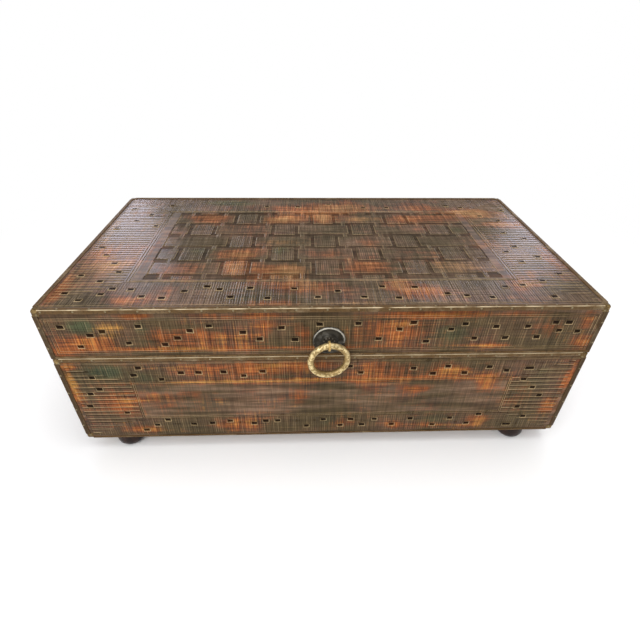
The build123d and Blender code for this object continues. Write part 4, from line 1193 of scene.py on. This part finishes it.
# The cast plate: a hammered bead round a dish, a stepped boss, and small beads set round the eye
def castPlate():
    rim, dish, boss = pull["rimHeight"], pull["dish"], pull["bossHeight"]
    outer, bossRadius = pull["plateRadius"], pull["bossRadius"]
    knots = [(outer - 0.2, 0.0), (outer - 0.1, rim * 0.55), (outer - 1.6, rim * 0.96),
             (outer - 3.6, rim * 0.98), (outer - 5.6, rim * 0.62), (outer - 7.2, dish * 0.75),
             (outer - 11, dish * 0.55),
             (bossRadius + 3.2, dish * 0.9), (bossRadius + 0.6, dish * 1.7), (bossRadius - 0.3, rim),
             (bossRadius - 1.0, boss * 0.62), (bossRadius - 2.6, boss * 0.76), (13.0, boss * 0.78),
             (8.5, boss * 0.80), (5.0, boss * 0.90), (3.4, boss * 0.92), (3.2, boss * 0.4),
             (0.0, boss * 0.38)]
    profile = smoothProfile(knots, 84)
    onRim = np.exp(-((profile[:, 0] - outer + 2.8) / 2.4) ** 2)
    onStep = np.exp(-((profile[:, 0] - bossRadius + 0.4) / 0.9) ** 2) * (profile[:, 1] > rim * 0.9)
    sunk = np.exp(-((profile[:, 0] - bossRadius - 1.2) / 1.6) ** 2)
    turned = np.linspace(0, 2 * math.pi, pull["plateTurns"], endpoint=False)[:, None]
    # The rim is worn, with a painted highlight on its upper half and painted shade on its lower half; a
    # little wear on the boss's step; lower in the crease at the boss's foot
    wear = 0.24 + onRim * (0.40 + 0.55 * np.sin(turned)) + 0.1 * onStep - 0.8 * sunk

    def scallop(angle, radius, height):
        blows = 0.5 + 0.5 * np.cos(angle * 26 + 0.8 * np.sin(angle * 5))
        height = height - 0.55 * onRim[None, :] * blows * (height > 0.6)
        inDish = np.exp(-((radius - outer + 11) / 5.0) ** 2)
        ripple = np.cos(angle * 9 + 1.3) * 0.22 + np.cos(angle * 23) * 0.10
        return radius, height + inDish * ripple

    centre = (pullX, frontY + metalThickness, pullZ)
    parts = [lathe(profile, centre, (1, 0, 0), (0, 0, 1), (0, -1, 0), pull["plateTurns"], wear, scallop)]
    bead = pull["beadRadius"]
    arc = np.linspace(0, math.pi * 0.62, 8)
    ball = np.stack([bead * np.sin(arc), bead * np.cos(arc)], axis=1)[::-1]
    for number in range(pull["beads"]):
        angle = 2 * math.pi * (number + 0.5) / pull["beads"]
        place = (pullX + pull["beadRing"] * math.cos(angle), frontY + metalThickness - boss * 0.78,
                 pullZ + pull["beadRing"] * math.sin(angle))
        parts.append(lathe(ball, place, (1, 0, 0), (0, 0, 1), (0, -1, 0), 14, np.linspace(-0.5, 1.0, 8)))
    return parts


buildPiece("pull_plate", castPlate(), "lid", metals["blackCasting"], ["ring_plate"])


# The split eye: flat strip that runs from one clinched tail through the lid, round the ring, and back
def splitEye():
    middle = (pull["eyeInner"] + pull["eyeOuter"]) / 2
    thick, wide = pull["eyeOuter"] - pull["eyeInner"] - 0.1, pull["eyeWidth"] - 0.1
    inside = eyeHigh[1] - 1.0
    leg = thick / 2 + 0.15
    gap = math.asin(leg / middle)
    loop = np.linspace(gap, 2 * math.pi - gap, 44)
    around = np.stack([pullY + middle * np.cos(loop), pullZ + middle * np.sin(loop)], axis=1)
    upper = [(inside, pullZ + pull["tail"] - 0.4), (inside, pullZ + 9), (inside, pullZ + leg + 2.2),
             (inside - 0.7, pullZ + leg + 0.6), (inside - 2.4, pullZ + leg), (inside - 9, pullZ + leg)]
    lower = [(y, 2 * pullZ - z) for y, z in upper[::-1]]
    path = np.vstack([upper, around, lower])
    way = np.gradient(path, axis=0)
    way /= np.linalg.norm(way, axis=1, keepdims=True)
    side = np.stack([-way[:, 1], way[:, 0]], axis=1)
    corners = np.linspace(0, 2 * math.pi, 20, endpoint=False)
    across = np.sign(np.cos(corners)) * np.abs(np.cos(corners)) ** 0.45 * wide / 2
    through = np.sign(np.sin(corners)) * np.abs(np.sin(corners)) ** 0.45
    half = np.full(len(path), thick / 2)
    half[:3] = half[-3:] = 0.9
    points = np.zeros((len(path), len(corners), 3))
    points[..., 0] = pullX + across
    offset = through[None, :] * half[:, None]
    points[..., 1] = path[:, 0][:, None] + side[:, 0][:, None] * offset
    points[..., 2] = path[:, 1][:, None] + side[:, 1][:, None] * offset
    ends = [np.broadcast_to(points[end].mean(axis=0), (1, *points[end].shape)) for end in (0, -1)]
    points = np.concatenate([ends[0], points, ends[1]])
    return patch(points, {"wear": 0.25 + 0.3 * np.abs(np.cos(corners))[None, :] + np.zeros(points.shape[:2])},
                 wrapColumns=True)


buildPiece("pull_eye", [splitEye()], "lid", metals["eyeBrass"], ["ring_eye"])
print("ring pull made")


# Bun feet, turned: two arcs meeting at the widest point, with two fine incised rings, and the glued tenon
feet = {"widest": 36.0, "widestAt": 21.0, "sole": 17.0, "top": 26.0, "tenon": 11.0, "rings": (13.0, 30.0),
        "ringDepth": 0.5}


def bunFoot(name):
    low, high = boxOf(name)
    tall = caseBase - low[2]
    widestAt = feet["widestAt"]
    heights = np.concatenate([np.linspace(0, widestAt, 26), np.linspace(widestAt, tall, 26)[1:]])
    below = heights <= feet["widestAt"]
    share = np.where(below, (feet["widestAt"] - heights) / feet["widestAt"],
                     (heights - feet["widestAt"]) / (tall - feet["widestAt"]))
    least = np.where(below, feet["sole"], feet["top"])
    radius = least + (feet["widest"] - least) * np.sqrt(np.clip(1 - share ** 2, 0, 1))
    for ring in feet["rings"]:
        radius = radius - feet["ringDepth"] * np.exp(-((heights - ring) / 0.8) ** 2)
    rows = [(0, 0)] + list(zip(radius, heights)) + [(feet["tenon"], tall), (feet["tenon"], high[2] - low[2])]
    rows.append((0, high[2] - low[2]))
    profile = np.array(rows)
    centre = ((low[0] + high[0]) / 2, (low[1] + high[1]) / 2, low[2])
    wear = np.zeros(len(profile))
    made = lathe(profile[::-1], centre, (1, 0, 0), (0, 1, 0), (0, 0, 1), 72, wear)
    buildPiece(name.replace("foot", "bun"), [made], "case", lacquer, [name])


for end in ("front", "back"):
    for side in ("left", "right"):
        bunFoot(f"foot_{end}_{side}")
print("feet turned")


# The pieces that keep their CAD shape get their finish here
def finishNode(name, material):
    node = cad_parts[name]
    node.data.materials.clear()
    node.data.materials.append(material)


for name in ("case_front_board", "case_back_board", "lid_front_board", "lid_back_board", "case_bottom_planks",
             "lid_top_planks", "case_front_lip", "foot_blocks"):
    finishNode(name, camphor["alongX"])
for name in ("case_left_board", "case_right_board", "lid_left_board", "lid_right_board", "lid_battens",
             "case_left_lip", "case_right_lip"):
    finishNode(name, camphor["alongY"])
for name in ("case_tacks", "lid_tacks"):
    finishNode(name, metals["tackBrass"])
for name in ("hinge_pins", "case_screws", "lid_screws"):
    finishNode(name, metals["hingeBrass"])
for number in (1, 2, 3):
    for part in ("case", "lid"):
        finishNode(f"hinge_{number}_{part}_leaf", metals["hingeBrass"])
for side in ("left", "right"):
    for part in ("stud", "bracket", "arm"):
        finishNode(f"{side}_stay_{part}", metals["stayIron"])
print("carried-over nodes finished")


# Studio: a plain pale floor, a pale world for the camera and for gloss, soft lamps
studio = {"floorHalf": 30.0, "floorTone": (0.90, 0.90, 0.90), "worldLevel": 0.60, "shadowReach": (0.95, 1.9),
          "horizon": (0.10, 0.30), "ceiling": (0.08, 0.08, 0.10)}
white = (1.0, 1.0, 1.0)


# One for the rays that look at the backdrop: from the camera, from gloss and through glass
def lookingRays(tree):
    rays = tree.nodes.new("ShaderNodeLightPath").outputs
    seen = maths(tree, "MAXIMUM", rays["Is Camera Ray"], rays["Is Glossy Ray"])
    return maths(tree, "MAXIMUM", seen, rays["Is Transmission Ray"]), rays["Is Camera Ray"]


def mixInto(tree, output, share, first, second):
    mix = tree.nodes.new("ShaderNodeMixShader")
    for socket, value in zip(mix.inputs, (share, first, second)):
        tree.links.new(value, socket)
    tree.links.new(mix.outputs[0], output.inputs[0])


def buildFloor():
    half = studio["floorHalf"]
    mesh = bpy.data.meshes.new("floor")
    corners = [(-half, -half, 0), (half, -half, 0), (half, half, 0), (-half, half, 0)]
    mesh.from_pydata(corners, [], [(0, 1, 2, 3)])
    material, tree, surface = freshMaterial("paleFloor")
    plug(tree, surface.inputs["Base Color"], studio["floorTone"])
    surface.inputs["Roughness"].default_value = 0.9
    surface.inputs["Specular IOR Level"].default_value = 0.0
    reach = tree.nodes.new("ShaderNodeVectorMath")
    reach.operation = "LENGTH"
    tree.links.new(objectPlace(tree), reach.inputs[0])
    glow = tree.nodes.new("ShaderNodeEmission")
    plug(tree, glow.inputs[0], white)
    share = times(tree, lookingRays(tree)[0], between(tree, reach.outputs["Value"], *studio["shadowReach"]))
    mixInto(tree, tree.nodes["Material Output"], share, surface.outputs[0], glow.outputs[0])
    mesh.materials.append(material)
    floor = bpy.data.objects.new("floor", mesh)
    bpy.context.scene.collection.objects.link(floor)


def buildWorld():
    world = bpy.data.worlds.new("studio")
    bpy.context.scene.world = world
    world.use_nodes = True
    tree = world.node_tree
    tree.nodes.clear()
    output = tree.nodes.new("ShaderNodeOutputWorld")
    shown, lighting = tree.nodes.new("ShaderNodeBackground"), tree.nodes.new("ShaderNodeBackground")
    height = tree.nodes.new("ShaderNodeSeparateXYZ")
    tree.links.new(tree.nodes.new("ShaderNodeTexCoord").outputs["Generated"], height.inputs[0])
    seen, fromCamera = lookingRays(tree)
    dimmed = times(tree, between(tree, height.outputs["Z"], *studio["horizon"]), minus(tree, 1.0, fromCamera))
    plug(tree, shown.inputs[0], blendColour(tree, dimmed, white, studio["ceiling"]))
    plug(tree, lighting.inputs[0], white)
    lighting.inputs[1].default_value = studio["worldLevel"]
    mixInto(tree, output, seen, lighting.outputs[0], shown.outputs[0])


# Lamps: name, place, point it faces, size both ways, watts, colour
windowTint = (0.86, 0.84, 1.0)
lamps = [
    ("frontSoftbox", (-1.6, -3.2, 2.6), (0, -0.2, 0.2), 3.0, 2.0, 95, white),
    ("overheadSoftbox", (0.6, -0.4, 3.4), (0, 0, 0.3), 3.0, 2.4, 60, white),
    ("leftWindow", (-1.88, 3.20, 1.85), (-0.52, 0.12, 0.44), 0.6, 1.3, 20, windowTint),
    ("rightWindow", (2.30, 2.90, 1.75), (0.55, 0.06, 0.44), 0.6, 1.1, 16, windowTint),
]


def buildLamps():
    for name, place, target, sizeX, sizeY, watts, tint in lamps:
        lamp = bpy.data.lights.new(name, "AREA")
        lamp.shape, lamp.color = "RECTANGLE", tint
        lamp.size, lamp.size_y, lamp.energy = sizeX, sizeY, watts
        holder = bpy.data.objects.new(name, lamp)
        holder.location = place
        way = Vector(target) - Vector(place)
        holder.rotation_euler = way.to_track_quat("-Z", "Y").to_euler()
        bpy.context.scene.collection.objects.link(holder)


# The photograph's camera, solved from the trunk's corners: its place in metres from the foot of the front,
# its lens and sensor in millimetres, and its turns about x, y and z in degrees, in that order
view = {"across": -0.048609, "beforeFront": 0.734864, "aboveBase": 0.898448, "lens": 24.02, "sensor": 36.0,
        "nearest": 0.02, "turns": (54.21589, -0.77418, -2.00791)}


def buildCamera():
    camera = bpy.data.cameras.new("camera")
    camera.lens, camera.sensor_width, camera.clip_start = view["lens"], view["sensor"], view["nearest"]
    holder = bpy.data.objects.new("camera", camera)
    turned = Euler([math.radians(turn) for turn in view["turns"]]).to_matrix().to_4x4()
    place = (view["across"], frontY * mm - view["beforeFront"], caseBase * mm + view["aboveBase"])
    holder.matrix_world = Matrix.Translation(place) @ turned
    bpy.context.scene.collection.objects.link(holder)
    bpy.context.scene.camera = holder


buildFloor()
buildWorld()
buildLamps()
buildCamera()
bpy.context.scene.view_settings.view_transform = "Standard"
print("studio set")
